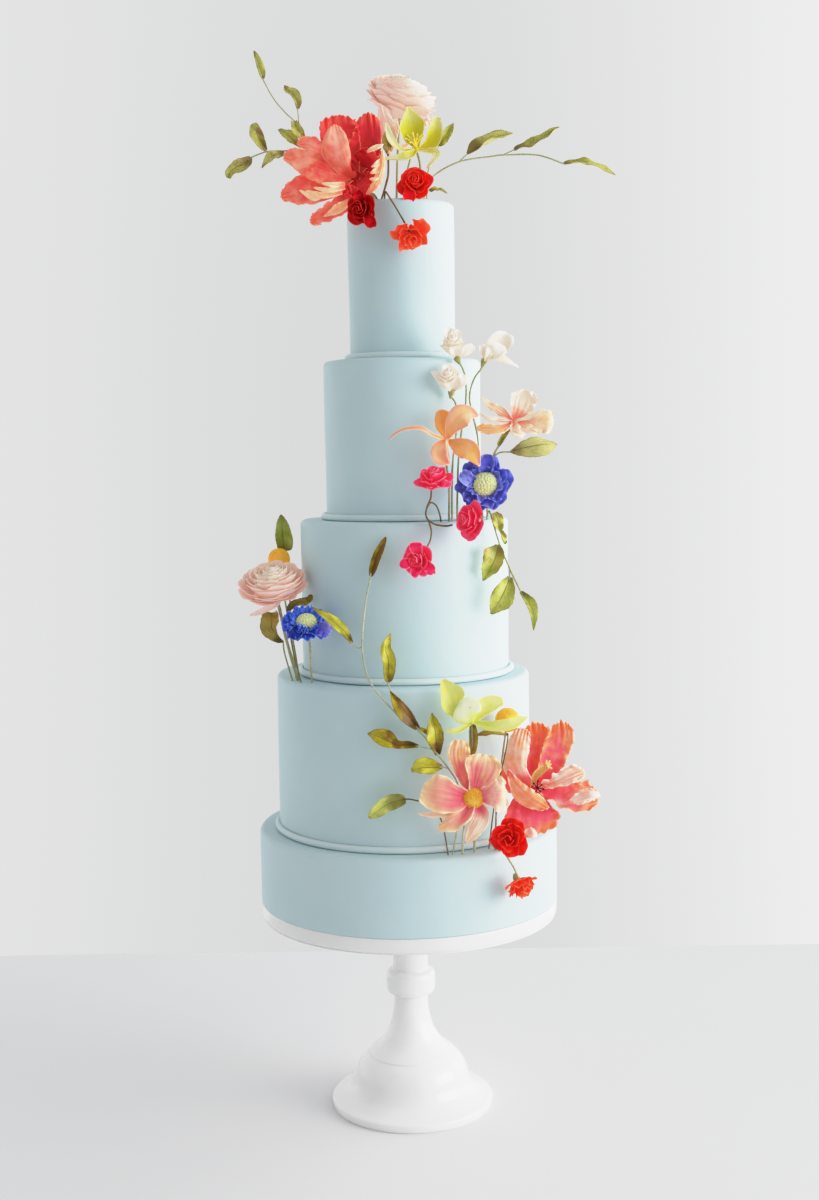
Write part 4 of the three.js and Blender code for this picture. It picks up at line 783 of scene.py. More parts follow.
petalColours = {
    "tulipTop": shades("#c8021e", "#f44c4c", "#ff8a70", "#ffb084", "#ff9466", "#ffb09c", "#e0344a",
                       "#fa9478", heartReach=0.6, tipStart=0.6, rimWidth=1.2, rimShare=0.5, hemWidth=4,
                       hemShare=0.5, streakShare=0.2, relief=1.6, lift=0.12),
    "tulipHeart": shades("#a80010", "#e01c30", "#f24a4c", "#f8685c", "#f2583c", "#f4605c", "#b80820",
                         "#f05850", heartReach=0.8, rimWidth=0.8, rimShare=0.5, relief=1.6, lift=0.04),
    "tulipWall": shades("#c0021c", "#e62c48", "#f4584c", "#ff9c78", "#f04c40", "#fa7c70", "#cc1434",
                        "#f47864", heartReach=0.6, hemShare=0.4, relief=1.6, lift=0.08),
    "fringe": shades("#f4705c", "#ffb484", "#ffe4ba", "#fff0d0", "#ff9c60", "#ffe8c8", "#f47c5c",
                     "#ffc89c", heartReach=0.4, hemWidth=4, hemShare=0.8, streakShare=0.5, lift=0.14),
    "sunset": shades("#f04058", "#ffa888", "#ff9a60", "#fff2e0", "#ff8a44", "#ffe8dc", "#f86878",
                     "#ffc8ac", heartReach=0.3, rimWidth=1.6, rimShare=0.9, hemWidth=3, streakShare=0.4,
                     relief=1.6, lift=0.08),
    "tulipLow": shades("#ec2054", "#fa5074", "#ff8c54", "#ffe2c4", "#ff9a40", "#ffe4d6", "#e01c4c",
                       "#ffb484", heartReach=0.55, tipStart=0.5, rimWidth=1.5, rimShare=0.8, hemWidth=6,
                       hemShare=0.85, streakShare=0.45, relief=1.6, lift=0.07),
    "blush": shades("#f0b8a8", "#f8dcd0", "#fce8de", "#f4ae9e", "#f8ccba", "#f2eedc", "#f4bcb0",
                    "#f8d2c8", rimWidth=0.6, rimShare=0.5, spot=0, streakShare=0.1, lift=0.08),
    "peach": shades("#ffb898", "#ffccb8", "#ffe2d0", "#ffece0", "#ffbc94", "#ffe4d6", "#fab094",
                    "#ffdac8", lift=0.12),
    "limeTop": shades("#d2be04", "#d0cc20", "#ecec94", "#f4f4b0", "#e2d020", "#f2f4c8", "#aaa810",
                      "#dce07c", heartReach=0.8, tipStart=0.5, streakShare=0.3, wander=0.35, lift=0.06),
    "limeLow": shades("#d4dc58", "#dee488", "#e6ec98", "#f8ee58", "#f0ea60", "#e8f0c8", "#c0cc58",
                      "#e4ecb0", heartReach=0.5, streakShare=0.3, rimWidth=1.6, rimShare=0.9, lift=0.08),
    "scarlet": shades("#bc0410", "#ec101c", "#fa2c28", "#ff7858", "#f22c1c", "#f42c28", "#b8040e",
                      "#e02c24", rimWidth=0.9, rimShare=0.6, specular=0.05, lift=0.1),
    "vermilion": shades("#c4060e", "#f4281c", "#ff4c34", "#ff9868", "#ff5c30", "#ff6848", "#d01414",
                        "#fa6444", rimWidth=1.1, rimShare=0.65, specular=0.05, lift=0.1),
    "ruby": shades("#800008", "#b40410", "#d4141c", "#f04838", "#c41018", "#d82424", "#8c000c", "#b81418",
                   rimWidth=0.9, rimShare=0.6, specular=0.05, lift=0.05),
    "crimson": shades("#c00030", "#f82458", "#ff4c78", "#ffa4b8", "#fa4058", "#ff7094", "#d00c40",
                      "#fa5478", rimWidth=1, rimShare=0.65, specular=0.05, lift=0.1),
    "orange": shades("#f49c50", "#f4b47c", "#f88c78", "#ffe4cc", "#f8a848", "#fac8a8", "#f08c64",
                     "#f8b084", hemWidth=6, hemShare=0.7, rimWidth=0.9, rimShare=0.9, roughness=0.45,
                     specular=0.35, lift=0.05),
    "sideCosmos": shades("#f4705c", "#ffdab8", "#fff0cc", "#fff6e6", "#fabc80", "#fff2de", "#f8a888",
                         "#fcd0ac", heartReach=0.5, wander=0.6, streakShare=0.15, lift=0.08),
    "frontCosmos": shades("#e23a66", "#f47f80", "#ffdea8", "#fff0c8", "#f8ac68", "#ffe4ce", "#d0305c",
                          "#fcc0a4", heartReach=0.55, tipStart=0.3, rimWidth=1.6, hemWidth=7,
                          hemShare=0.75, streakShare=0.6, streaks=20, lift=0.08),
    "violet": shades("#242a80", "#464ec0", "#747ce0", "#b8c0fa", "#805cbc", "#949cec", "#343a9c",
                     "#6c74d0", hemWidth=3, hemShare=0.5, rimWidth=1, rimShare=0.6, lift=0.06),
    "blue": shades("#12207c", "#2c4cc8", "#4c74ec", "#90b0fc", "#5048b8", "#6c90f0", "#1c2c98", "#486cd8",
                   hemWidth=3, hemShare=0.5, rimWidth=1, rimShare=0.6, lift=0.06),
    "ivory": shades("#f0dcbc", "#f8ecdc", "#fdf6ec", "#fffaf2", "#f0dcc2", "#f8ece0", "#ecdac6",
                    "#f4e6d6", rimWidth=0.8, spot=0.02, streakShare=0.2, lift=0.1),
}
petalPaste = {name: petalMaterial(name, look) for name, look in petalColours.items()}
creamPaste = tapeMaterial("creamPaste", "#fac474", "#fcd490", "#f0a44c")
yellowPaste = tapeMaterial("yellowPaste", "#f4e048", "#faec74", "#dcb828")
darkPaste = tapeMaterial("darkPaste", "#3c0c1c", "#571428", "#24060e")
leafColours = {
    "olive": dict(first="#b0b04a", second="#c4c462", third="#9c9a42", pale="#d4d28a",
                  brown="#8e5c36", dark="#70502c"),
    "trailing": dict(first="#b0bc48", second="#c8ce5c", third="#96a03c", pale="#d8dc78",
                     brown="#a07c3c", dark="#6a6424"),
    "vine": dict(first="#b4a818", second="#d0c42c", third="#948420", pale="#dcd848",
                 brown="#7a4a14", dark="#4c340c"),
    "fresh": dict(first="#a0b040", second="#b4be5c", third="#7c9034", pale="#c4ca74",
                  brown="#7a5a34", dark="#606c24"),
    "autumn": dict(first="#988a34", second="#b49a3c", third="#84601c", pale="#c0a850",
                   brown="#7c4a1c", dark="#40290c"),
}
leafPaste = {name: leafMaterial(name, look) for name, look in leafColours.items()}
greenTape = tapeMaterial("greenTape", "#98a070", "#b4b08c", "#747048")
brownTape = tapeMaterial("brownTape", "#6a5638", "#857248", "#43351f")
paleTape = tapeMaterial("paleTape", "#b0b498", "#c8c8ac", "#8c8464")
beadSugar = grainMaterial("beadSugar", "#eef4c4", "#d0d698", "#e0e8a8", scale=900, lift=0.1)
goldSugar = grainMaterial("goldSugar", "#ffc848", "#ffb034", "#ffd860", scale=760, lift=0.14)
discSugar = grainMaterial("discSugar", "#fcc440", "#e09828", "#fcd460", scale=800, lift=0.05)
calyxSugar = tapeMaterial("calyxSugar", "#9aa058", "#b0a878", "#6f6a34")


# the pieces of a plant, in mm: each point is its offset from the plant's heart, from the base out,
# with the half widths left and right where it has five numbers. A petal or leaf then names what
# differs from its kind's form
def petal(*points, sort=None, **own):
    return sort, points, own


def leaf(*points, **own):
    return "leaf", points, own


def wire(radius, *points):
    return "wire", points, radius


plants = {}


def plant(name, kind, slot, heart, **own):
    plants[name] = {"kind": kind, "slot": slot, "heart": np.array(heart, float), **own}


# every flower, leaf spray and vine; core: radius of the knob its petals stand on; disc: radius of
# its beaded middle; lean: the way a bud's inner petals face
plant("tulip_top", "tulip", "coral_petals", (-45.5, -34, 968.5), paste="tulipTop", core=6, pieces=[
    petal((-1, -2, -2, 3, 2), (-8, -16, 7, 11, 10), (-13, -22, 20.5, 17, 13), (-15.5, -21, 34, 12.5, 12),
          (-17, -16, 47, 4.5, 5.5), tone=0.5, tooth=0.5, frill=1, arc=0.05, warm=0.5, rib=0.04,
          crumple=2.8, cup=-0.3),
    petal((-2, -1, -1.5, 4, 3), (-24, -12, 3, 18.5, 12), (-43.5, -13, 11, 17.5, 13),
          (-59.5, -8, 17.5, 10, 8), (-69, -4, 20.5, 6, 4.5), tone=0.35, warm=0.5, arc=0.1, tooth=2,
          frill=2.4, rib=0.1),
    petal((-2, 1, 1, 3, 3), (-26, -4, 20, 9, 9), (-42, -3, 30, 8, 9), (-56, -1, 31.5, 2, 3), tone=0.45,
          arc=0.1, tooth=1.8, frill=2.4, rib=0.1),
    petal((-0.5, 2.5, 1, 8, 8), (-8, 12, 26.5, 20.5, 17.5), (-14, 13, 45.5, 22, 20.5),
          (-15, 8, 60, 17.5, 17.5), paste="tulipWall", tone=0.1, warm=0.35, deep=0.15, arc=0.1, rib=0.1,
          frill=3.4, tooth=2.8, teeth=7, cup=0.28),
    petal((1, 2.5, 1, 8, 8), (11, 10, 24, 17.5, 18.5), (16.5, 12, 43.5, 16, 14), (16, 7, 62, 13, 11),
          paste="tulipWall", warm=0.3, deep=0.3, arc=0.14, rib=0.1, frill=3.4, tooth=2.8, teeth=7,
          cup=0.3),
    petal((6.5, 5, -21, 8, 8), (10.5, 14, 1, 20.5, 19.5), (11, 17, 23, 18.5, 18.5), (8, 16, 40.5, 8, 10),
          paste="tulipHeart", warm=0.1, deep=0.5, arc=0.1, rib=0.1, cup=0.35),
    petal((1.5, 1.5, -2, 10, 10), (14, 4, 4.5, 21.5, 20.5), (28, -6, 10, 16, 13), paste="tulipHeart",
          tone=0.1, warm=0.1, deep=0.2, arc=0.2, tooth=0.5, rib=0.1),
    petal((0, -0.5, -2.5, 7, 7), (9, -8, -10.5, 13, 11), (20, -9, -14.5, 11, 6), paste="tulipHeart",
          tone=0.2, warm=0.2, arc=0.1, tooth=0.8, rib=0.1),
    petal((-0.5, -0.5, -2.5, 5, 5), (-27.5, -12, -16, 14, 12), (-49.5, -12, -18, 16, 16),
          (-64.5, -8, -20, 9, 9), (-72.5, -5, -21.5, 4, 5), tone=0.25, warm=0.3, arc=0.1, rib=0.1),
    petal((0.5, -0.5, -2.5, 7, 7), (-8, -11, -26, 10, 10), (-23, -13, -37, 9.5, 9), (-35, -9, -43, 7, 7),
          (-43.5, -7, -47.5, 4.5, 5), tone=0.3, warm=0.2, arc=0.1, frill=2, tooth=2.4, rib=0.1),
    petal((0.5, -0.5, -2.5), (-3, -13, -19.5), (-5.5, -13, -12), paste="tulipHeart", tone=0.3, warm=0.2,
          deep=0.1, tooth=0.3, rib=0.1, cup=-0.2, width=16, peak=0.6, taper=0.6),
    petal((-7.5, -18, -11, 2, 2), (-20, -22, -12.5, 3, 2.5), (-31, -20, -10, 1, 1), sort="fringe"),
    petal((-7.5, -18, -14.5, 3, 3), (-23, -23, -17.5, 3.5, 3), (-39, -20, -14.5, 1, 1), sort="fringe"),
    petal((-10.5, -17, -18.5, 3, 3), (-29, -22, -22.5, 3.5, 3.5), (-47, -19, -17, 1, 1), sort="fringe"),
    petal((-19.5, -15, -22.5, 3, 3), (-38, -19, -25, 3, 3), (-53, -17, -16, 1, 1), sort="fringe"),
    petal((30, -14, 12.5, 2.5, 2.5), (23.5, -18, 7, 3, 3), (18, -17, 5, 0.5, 0.5), sort="fringe"),
    petal((30, -15, 4.5, 2.5, 2.5), (23, -18, 0.5, 3, 3), (17, -17, -1, 0.5, 0.5), sort="fringe"),
    petal((28, -15, -3, 2.5, 2.5), (22, -18, -7, 2.5, 2.5), (16, -17, -6.5, 0.5, 0.5), sort="fringe"),
    petal((-3, -15, -26.5, 3, 3), (-13, -18, -34.5, 5.5, 5), (-30, -15, -42, 2, 2), rows=44, columns=29,
          paste="fringe", tone=0.3, warm=0.5, tooth=1.6, teeth=6, frill=1.2, cup=-0.15),
    petal((14, -13, -22, 2, 1), (24, -16, -11, 6, 3.5), (29, -17, 5.5, 4.5, 3), (30, -13, 23.5, 2.5, 1.5),
          rows=44, columns=29, paste="fringe", tone=0.3, warm=0.7, tooth=3, frill=1.8, rib=0.3, cup=-0.2),
    petal((14.5, -6, 21, 1, 1), (22.5, -10, 24.5, 2.5, 2.5), (30.5, -12, 27.5, 1.5, 2), rows=44,
          columns=29, paste="fringe", tone=0.5, warm=0.2, tooth=1.4, frill=1.4, cup=-0.1),
    wire(1.4, (0, 0, 0), (16.5, 4, -16), (21.5, 3, -25.5)),
])
plant("ranunculus_top", "ranunculus", "blush_petals", (3.5, 15, 1053), paste="blush", size=36.5,
      axis=(0.3, -0.25, 0.92), turn=10, pieces=[
    wire(1.2, (0, 0, 0), (-3.5, -7, -41.5), (-5.5, -29, -87), (-6, -45, -110)),
])
plant("bloom_peach", "tulip", "peach_petals", (-10.5, -14, 994), paste="peach", leaf="autumn", core=4,
      tape=brownTape, pieces=[
    petal((0, 0, 0, 3, 3), (-3, 2, 22, 6, 11.5), (-7.5, 2, 46.5, 4, 7), tone=0.8, tooth=0.5, frill=1,
          deep=-1),
    petal((2, 0, 0, 2, 2), (5, 1, 16.5, 6, 5), (8.5, 1, 33.5, 5, 4), tone=0.3, tooth=0.5, frill=1),
    leaf((0.5, -0.5, -1.5, 2, 2), (0, -5, 8, 5, 6), (1.5, -3, 21, 3, 3)),
    wire(1.1, (0, 0, 0), (0, -6, -21), (-2, -10, -32), (-8, -10.5, -51)),
])
plant("hellebore_top", "hellebore", "lime_petals", (17.5, -22, 995), paste="limeTop", core=4, pieces=[
    petal((1.5, -0.5, -0.5, 2, 2), (-2, 1, 11, 12.5, 10), (-4.5, 2, 25, 13, 13.5),
          (-7.5, -2, 41, 1.5, 1.5), warm=0.2, cup=0.35),
    petal((1.5, -0.5, -1, 2, 2), (14, 0, 6.5, 6, 9), (19, -3, 17.5, 7.5, 8), (21, -6, 30, 3, 4),
          tone=0.1),
    petal((-1, -1, -1, 1.5, 1.5), (-15, -5, -1, 2, 2.5), (-24.5, -8, 9.5, 4.5, 4), (-29, -8, 24.5, 1, 1),
          tone=0.9, cup=0.4),
    petal((1, -1, -1, 2, 2), (-10, -13, -10.5, 7, 5.5), (-31, -12, -11.5, 2, 2), tone=0.6, face="lifted"),
    petal((1.5, -0.5, -1, 1.5, 1.5), (20, -5, -5.5, 4, 4), (10.5, -4, -19.5, 1, 1), tone=0.8),
    wire(1.2, (0, 0, 0), (4, 2, -15.5), (2.5, 2, -35), (1, -1.5, -52)),
])
plant("bloom_blush", "tulip", "blush_petals", (17, 4, 1009.5), paste="peach", core=3, pieces=[
    petal((-1, 0, 1), (12.5, 2, 17), (25.5, 0, 21.5), cup=0.3, face="up", width=12.5, peak=0.62, taper=1),
    petal((-0.5, 0, -1), (-8.5, -2, -7), (-15.5, -4, -8.5), cup=0.3, face="up", width=10.5, peak=0.62,
          taper=1),
    wire(1, (0, 0, 0), (-5.5, -2, -21), (-10, -4, -41), (-10, -36.5, -66.5)),
])
plant("rose_top_right", "rose", "red_petals", (16, -46, 958), paste="scarlet", size=17,
      axis=(-0.1, -0.95, 0.25), turn=20, tape=brownTape, pieces=[
    petal((-4, -6, -8, 5, 5), (-4.5, -7, -15, 7, 7), (-5.5, -4, -20, 2, 2), tone=0.2, frill=1.2,
          crumple=1),
    wire(1, (0, 0, 0), (0, 6, -10), (-0.5, 6.5, -15)),
])
plant("rose_top_left", "rose", "red_petals", (-37.5, -66, 930.5), paste="ruby", size=15.5,
      axis=(-0.35, -0.9, -0.1), turn=40, tape=brownTape, pieces=[
    petal((5, -6, -7.5, 5, 5), (8.5, -6, -14.5, 6, 6.5), (9.5, -4, -19.5, 3, 3), tone=0.2),
    petal((-0.5, -4, 7, 5, 5), (-4, -5, 13, 6, 6), (-6, -3, 17, 3, 3)),
    wire(1, (0, 0, 0), (6, 9, 11), (12, 15, 16.5), (16, 26, 12.5)),
])
plant("rose_top_hanging", "looseRose", "red_petals", (12, -76, 902.5), paste="vermilion", size=17,
      axis=(0.15, -0.75, -0.6), turn=0, tape=brownTape, pieces=[
    wire(0.9, (0, 0, 0), (-5.5, 8, 11.5), (-15, 14, 29), (-22, 19, 41), (-25.5, 26, 46.5),
         (-26.5, 36, 40.5)),
])
plant("branch_left", "branch", "green_leaves", (-98, -24, 997), pieces=[
    leaf((-35, -6, 66), (-38, -8, 78.5), (-44, -4, 95), cup=0.25, width=8),
    leaf((-1.5, -4, 37.5, 1.5, 1.5), (-2, -6, 44.5, 4, 4.5), (-6, -6, 52.5, 4.5, 4.5),
         (-11.5, -5, 56, 4.5, 2.5), (-14.5, -3, 61.5, 0.5, 0.5), warm=0.35, tone=0.2, cup=0.25),
    leaf((4.5, -4, 8.5, 3, 2), (-0.5, -7, 15.5, 8, 4), (-3.5, -7, 21, 5.5, 4), (-5, -4, 26.5, 3, 2.5),
         cup=0.25),
    leaf((-0.5, -1, 2, 2, 2), (-8.5, -4, 9.5, 5.5, 5.5), (-15.5, -4, 14.5, 4, 4.5),
         (-22, -2, 18.5, 0.5, 0.5), cup=0.25),
    leaf((-34, 0, -1.5, 2, 2), (-38, -4, 5, 5.5, 5), (-42, -4, 13.5, 7.5, 7), (-45.5, -3, 20.5, 4.5, 5.5),
         (-47.5, -2, 24.5, 1, 1.5), warm=0.45, tone=0.1, cup=0.25),
    leaf((-49.5, 0, -8.5, 2, 2), (-56.5, -5, -15.5, 8, 8), (-65, -5, -19, 6.5, 6),
         (-70.5, -4, -23.5, 5.5, 5.5), (-72.5, -2, -29, 2, 1.5), warm=0.35, tone=0.2, deep=0.15,
         frill=1.4, cup=0.3),
    leaf((-16, -4, -6, 2.5, 2.5), (-23, -6, -7, 4.5, 5), (-30, -7, -10.5, 4, 5.5),
         (-39, -4, -19.5, 0.5, 0.5), warm=0.3, tone=0.4, cup=0.25),
    wire(0.7, (-35.5, -6.5, 68), (-35, -6, 66), (-25, -4, 47.5), (-13.5, -2, 34), (-3.5, 0, 24.5),
         (6, 0, 8), (19.5, 2, -9.5)),
    wire(0.6, (-1.5, -5, 40), (-1.5, -4, 37.5), (-1, -1, 26.5), (-3.5, 0, 24.5)),
    wire(0.7, (-52, -2, -11), (-49.5, 0, -8.5), (-33.5, 0, -3), (-16.5, 0, -2.5), (-0.5, 0, -2),
         (19.5, 2, -9.5), (50.5, 12, -37.5), (66.5, 16, -41), (69.5, 9, -54)),
    wire(0.6, (2.5, -5.5, 11.5), (4.5, -4, 8.5), (6, 0, 8)),
    wire(0.6, (-3, -2, 4), (-0.5, -1, 2), (-0.5, 0, -2)),
    wire(0.6, (-35.5, -1.5, 0.5), (-34, 0, -1.5), (-33.5, 0, -3)),
    wire(0.6, (-18, -4.5, -6), (-16, -4, -6), (-16.5, 0, -2.5)),
])
plant("branch_right", "branch", "green_leaves", (95, -10, 989), pieces=[
    leaf((-26, -2, 2), (-5, -6, 14), (20.5, -2, 23), warm=0.42, tone=0.2, deep=0.15, face="lifted",
         width=13.5),
    leaf((21, -2, 5.5), (43, -6, 12), (66.5, -2, 28.5), warm=0.4, tone=0.1, deep=0.1, face="lifted",
         width=13),
    leaf((70.5, -2, -8.5), (95, -5, -9), (124.5, 0, -19.5), face="lifted", width=9.5),
    wire(0.8, (73, -2.5, -8.5), (70.5, -2, -8.5), (44.5, 0, 0.5), (10, 0, 1), (0, 0, 0),
         (-34.5, -2, -5.5), (-62.5, -4, -21.5), (-73.5, -19.5, -46)),
    wire(0.6, (-24, -2.5, 3), (-26, -2, 2), (-34.5, -2, -5.5)),
    wire(0.6, (23, -2.5, 6), (21, -2, 5.5), (10, 0, 1)),
])
plant("leaf_top_slim", "branch", "green_leaves", (41, -6, 1000.5), pieces=[
    leaf((0, 0, 0), (7, -2, 11.5), (15, 0, 23), width=10.5),
    wire(0.6, (1.5, -0.5, 2), (0, 0, 0), (-6.5, -2, -10), (-12.5, -6, -29.5), (-16, -7, -44.5),
         (-15.5, -7.5, -57.5)),
])
plant("leaf_top_small", "branch", "green_leaves", (30, -16, 955.5), pieces=[
    leaf((0, 0, 0), (9, -2, 0.5), (19, 0, -2.5), face="lifted", width=6),
    wire(0.6, (2.5, -0.5, 0), (0, 0, 0), (-2, -6, -4), (-2.5, -11.5, -12.5)),
])
plant("bud_upper_left", "bud", "white_petals", (53.5, -68, 787), paste="ivory", core=3,
      lean=(-0.2, -0.5, 0.85), pieces=[
    petal((0.5, -0.5, -1, 3, 3), (-1.5, -3, 10.5, 8, 8), (-0.5, -1, 26.5, 8, 8), warm=0.5),
    petal((0.5, -1, -1, 2, 2), (8, -4, 4.5, 6, 5), (19, 0, 9.5, 4, 4), cup=0.3),
    petal((0, -1.5, -0.5, 2, 2), (-7, -8, 5.5, 3.5, 7), (-16, -4, 11, 0.5, 0.5), arc=0, cup=0.3),
    petal((-0.5, -0.5, 1, 3, 3), (-7, -9, 18, 5, 5), (-5.5, -5, 28.5, 3.5, 4.5), roll=2, tone=0.6,
          cup=0.6),
    petal((0.5, -1, -1, 3, 3), (0, -10, 5.5, 8, 8), (0, -8, 14, 7, 7), roll=1.5, cup=0.5),
    wire(1, (0, 0, 0), (7, -2, -13.5), (9.5, -4, -25.5), (9, -6, -47), (4, -12, -77), (1, -16, -101.5),
         (-0.5, -20, -131), (-1, -18.5, -161.5)),
])
plant("bud_upper_right", "bud", "white_petals", (82.5, -66, 785), paste="ivory", core=3, pieces=[
    petal((0.5, -0.5, -1, 3, 3), (9.5, -2, 7.5, 12, 11), (17.5, 0, 19, 10, 13), (21, 2, 25.5, 3, 6),
          cup=0.3),
    petal((0.5, -1, -1, 2, 2), (14, -8, -1.5, 6, 5), (33, -6, -9.5, 0.5, 0.5), warm=0.6, arc=0, cup=0.3,
          face="lifted"),
    petal((0, -1, -0.5, 2, 2), (-2.5, -7, 5.5, 4, 5), (-2.5, -6, 13, 4, 5), roll=1, cup=0.5),
    petal((0.5, -1, -0.5, 3, 3), (10, -10, 3, 10, 6), (19, -9, 10, 6, 7), tone=0.5),
    petal((0.5, -5, -3.5, 2, 2), (3, -10, 4, 4, 4), (4.5, -8, 12, 3, 4), roll=1, warm=0.5),
    wire(1, (0, 0, 0), (-3.5, -1, -9.5), (-11.5, -4, -21), (-16, -6, -37), (-14, -10, -53),
         (-8.5, -14, -80.5), (-6.5, -8, -129.5), (-6.5, 12.5, -159.5)),
])
plant("bud_lower", "bud", "white_petals", (49, -76, 754.5), paste="ivory", core=3,
      lean=(-0.25, -0.6, 0.75), pieces=[
    petal((0, -0.5, -1, 3, 3), (-2, -3, 11, 8, 9), (-1.5, -1, 25.5, 7, 8)),
    petal((0.5, -0.5, -1, 2, 2), (9, -5, 5, 7, 5), (13, -2, 14.5, 5, 5), tone=0.3),
    petal((-0.5, -1, -0.5, 2, 2), (-9.5, -8, 7, 4.5, 9), (-19.5, -4, 18, 1.5, 1.5), tone=0.8, arc=0),
    petal((0.5, -1, -1, 3, 3), (0, -10, 4.5, 9, 9), (-1, -9, 14.5, 8, 8), roll=1.5, cup=0.5),
    wire(1, (0, 0, 0), (-1, -1, -6.5), (3.5, -2, -14.5), (4.5, -8, -35), (0, -10, -69), (-1.5, -14, -98),
         (-1.5, -12, -129)),
])
plant("orchid", "orchid", "orange_petals", (43, -94, 705), paste="orange", core=4, pieces=[
    petal((0.5, -0.5, 1.5, 2, 2), (4, -6, 14.5, 6.5, 10), (12, -8, 25, 10, 14.5),
          (22.5, -6, 27.5, 5.5, 10.5), (31.5, -2, 23, 0.5, 1), tone=0.3, warm=0.1, fold=0.1),
    petal((-0.5, 1.5, 1, 2, 2), (-5, 6, 15.5, 7, 10), (-4, 6, 30, 6, 9), warm=0.8, arc=0.1, cup=0.2),
    petal((-1.5, -1, 0, 1.5, 1.5), (-14.5, -6, 5, 2.5, 2.5), (-24, -8, 11, 3, 2.5),
          (-35.5, -8, 11.5, 3, 2.5), (-46.5, -6, 8.5, 2.5, 2), (-57, -4, 1, 0.5, 0.5), tone=0.5, warm=0.1,
          cup=0.4, face="lifted"),
    petal((-1, -1.5, 0, 2, 2), (-7, -7, -7.5, 7.5, 7), (-6, -7, -16.5, 8, 8), (2.5, -4, -23.5, 1, 1),
          tone=0.3, warm=0.1, cup=0.2),
    petal((1.5, -1, -1, 2, 2), (13.5, -8, -5.5, 9, 10), (23.5, -11, -11, 10, 10.5),
          (31.5, -11, -25.5, 1, 1), tone=0.1, warm=0.5),
    petal((0, -0.5, 1.5, 1, 1), (-0.5, -12, -5.5, 2, 2), (2.5, -10, -22, 0.5, 0.5), tone=1, cup=0.5),
    wire(1.1, (0, 0, 0), (-0.5, -1, -23), (1.5, -1, -43.5), (1.5, 8, -79.5)),
])
plant("cosmos_side", "cosmos", "peach_petals", (110.5, -62, 723), paste="sideCosmos", core=3.5, pieces=[
    petal((1, 1, -1, 3.5, 4.5), (6, 8, 12, 12.5, 13.5), (10, 10, 24.5, 14.5, 14.5), (11, 8, 31, 9, 10),
          tone=0.8, arc=0.14, cup=0.35),
    petal((1.5, -0.5, 0, 1.5, 1.5), (15.5, -5, 4, 4, 4), (31.5, -4, 11, 2, 2), tone=1, deep=-0.3, arc=0.1,
          cup=0.3, face="lifted"),
    petal((1, -1, -1, 2, 2), (17.5, -8, -2, 5.5, 8), (31, -9, -1.5, 12.5, 12.5), (39, -7, -2.5, 9, 9),
          tone=0.2, warm=0.5, arc=0.14, cup=0.3),
    petal((0.5, -1, -1, 2, 2), (14, -9, -8.5, 5.5, 6), (28, -8, -9, 5.5, 5), tone=0.4, warm=0.2, arc=0.1,
          face="lifted"),
    petal((-0.5, -1, -1, 2, 2), (2.5, -10, -9, 5.5, 8), (10.5, -9, -14, 5.5, 6.5), tone=0.6, deep=-0.1,
          face="lifted"),
    petal((-1.5, 0.5, 1, 1.5, 1.5), (-13.5, 2, 8.5, 4.5, 6.5), (-23.5, 4, 15, 3.5, 4),
          (-31.5, 4, 25, 1, 1), tone=0.3, warm=0.2, arc=0, cup=0.4),
    petal((-1.5, -0.5, -0.5, 1.5, 1.5), (-14, -4, 1, 2.5, 2.5), (-24, -4, 2.5, 2.5, 2.5),
          (-34.5, -2, 8, 1, 1), tone=1, arc=0, cup=0.4, face="lifted"),
    petal((-0.5, -0.5, -1.5, 2, 2), (-14.5, -9, -7, 9, 5.5), (-26, -10, -8, 9.5, 6.5),
          (-39, -7, -5.5, 3, 3), warm=0.8, arc=0.1, face="lifted"),
    leaf((-0.5, 0, -1.5), (-11.5, 2, -18.5), (-15.5, 4, -25.5), cup=0.5, width=6, taper=1),
    leaf((-4.5, 2, -30.5, 0.5, 0.5), (8.5, -3, -27, 8, 8.5), (22.5, -5, -24.5, 10, 11.5),
         (33.5, -3, -23.5, 4.5, 9), (43.5, 0, -23.5, 0.5, 0.5), tone=0.7, twist=-8, warm=0.22, tooth=1.6,
         cup=0.15),
    wire(1.1, (0, 0, 0), (-7, 2, -12), (-15, 4, -24.5), (-20.5, 6, -35.5), (-23.5, 8, -56),
         (-26.5, 2, -78), (-26.5, 17.5, -97.5)),
    wire(0.9, (-1.5, 1, -29.5), (-4.5, 2, -30.5), (-14, 3, -31), (-20.5, 6, -35.5)),
])
plant("anemone_right", "anemone", "blue_petals", (79.5, -92, 661.5), paste="violet", size=27,
      axis=(-0.05, -0.97, 0.15), turn=8, disc=11, pieces=[
    petal((-10.5, -6, 1.5, 5, 5), (-18, -11, 7, 8, 8), (-24, -9, 12.5, 4, 5), tone=0.5, tooth=0.5,
          frill=1.6, crumple=1.4, cup=0.3),
    petal((1, -6, 12, 6, 6), (1, -10, 22, 10, 9), (-1, -8, 29.5, 5, 5), tone=0.1, warm=0.3, tooth=0.5,
          frill=1.6, crumple=1.4, cup=0.3),
    wire(1.1, (0, 0, 0), (-1, 22, -21), (-1, 30, -36)),
])
plant("rose_right_upper", "rose", "crimson_petals", (29.5, -120, 669), paste="crimson", size=17,
      axis=(-0.15, -0.5, 0.85), turn=15, tape=brownTape, pieces=[
    petal((5.5, -7, -4.5, 4, 4), (12.5, -8, -6, 4, 4), (18, -6, -5, 1, 1), tone=0.3, cup=0.2),
])
plant("rose_right_middle", "rose", "crimson_petals", (63.5, -118, 627.5), paste="crimson", size=18,
      axis=(-0.8, -0.58, 0.12), turn=55, tape=brownTape, pieces=[
])
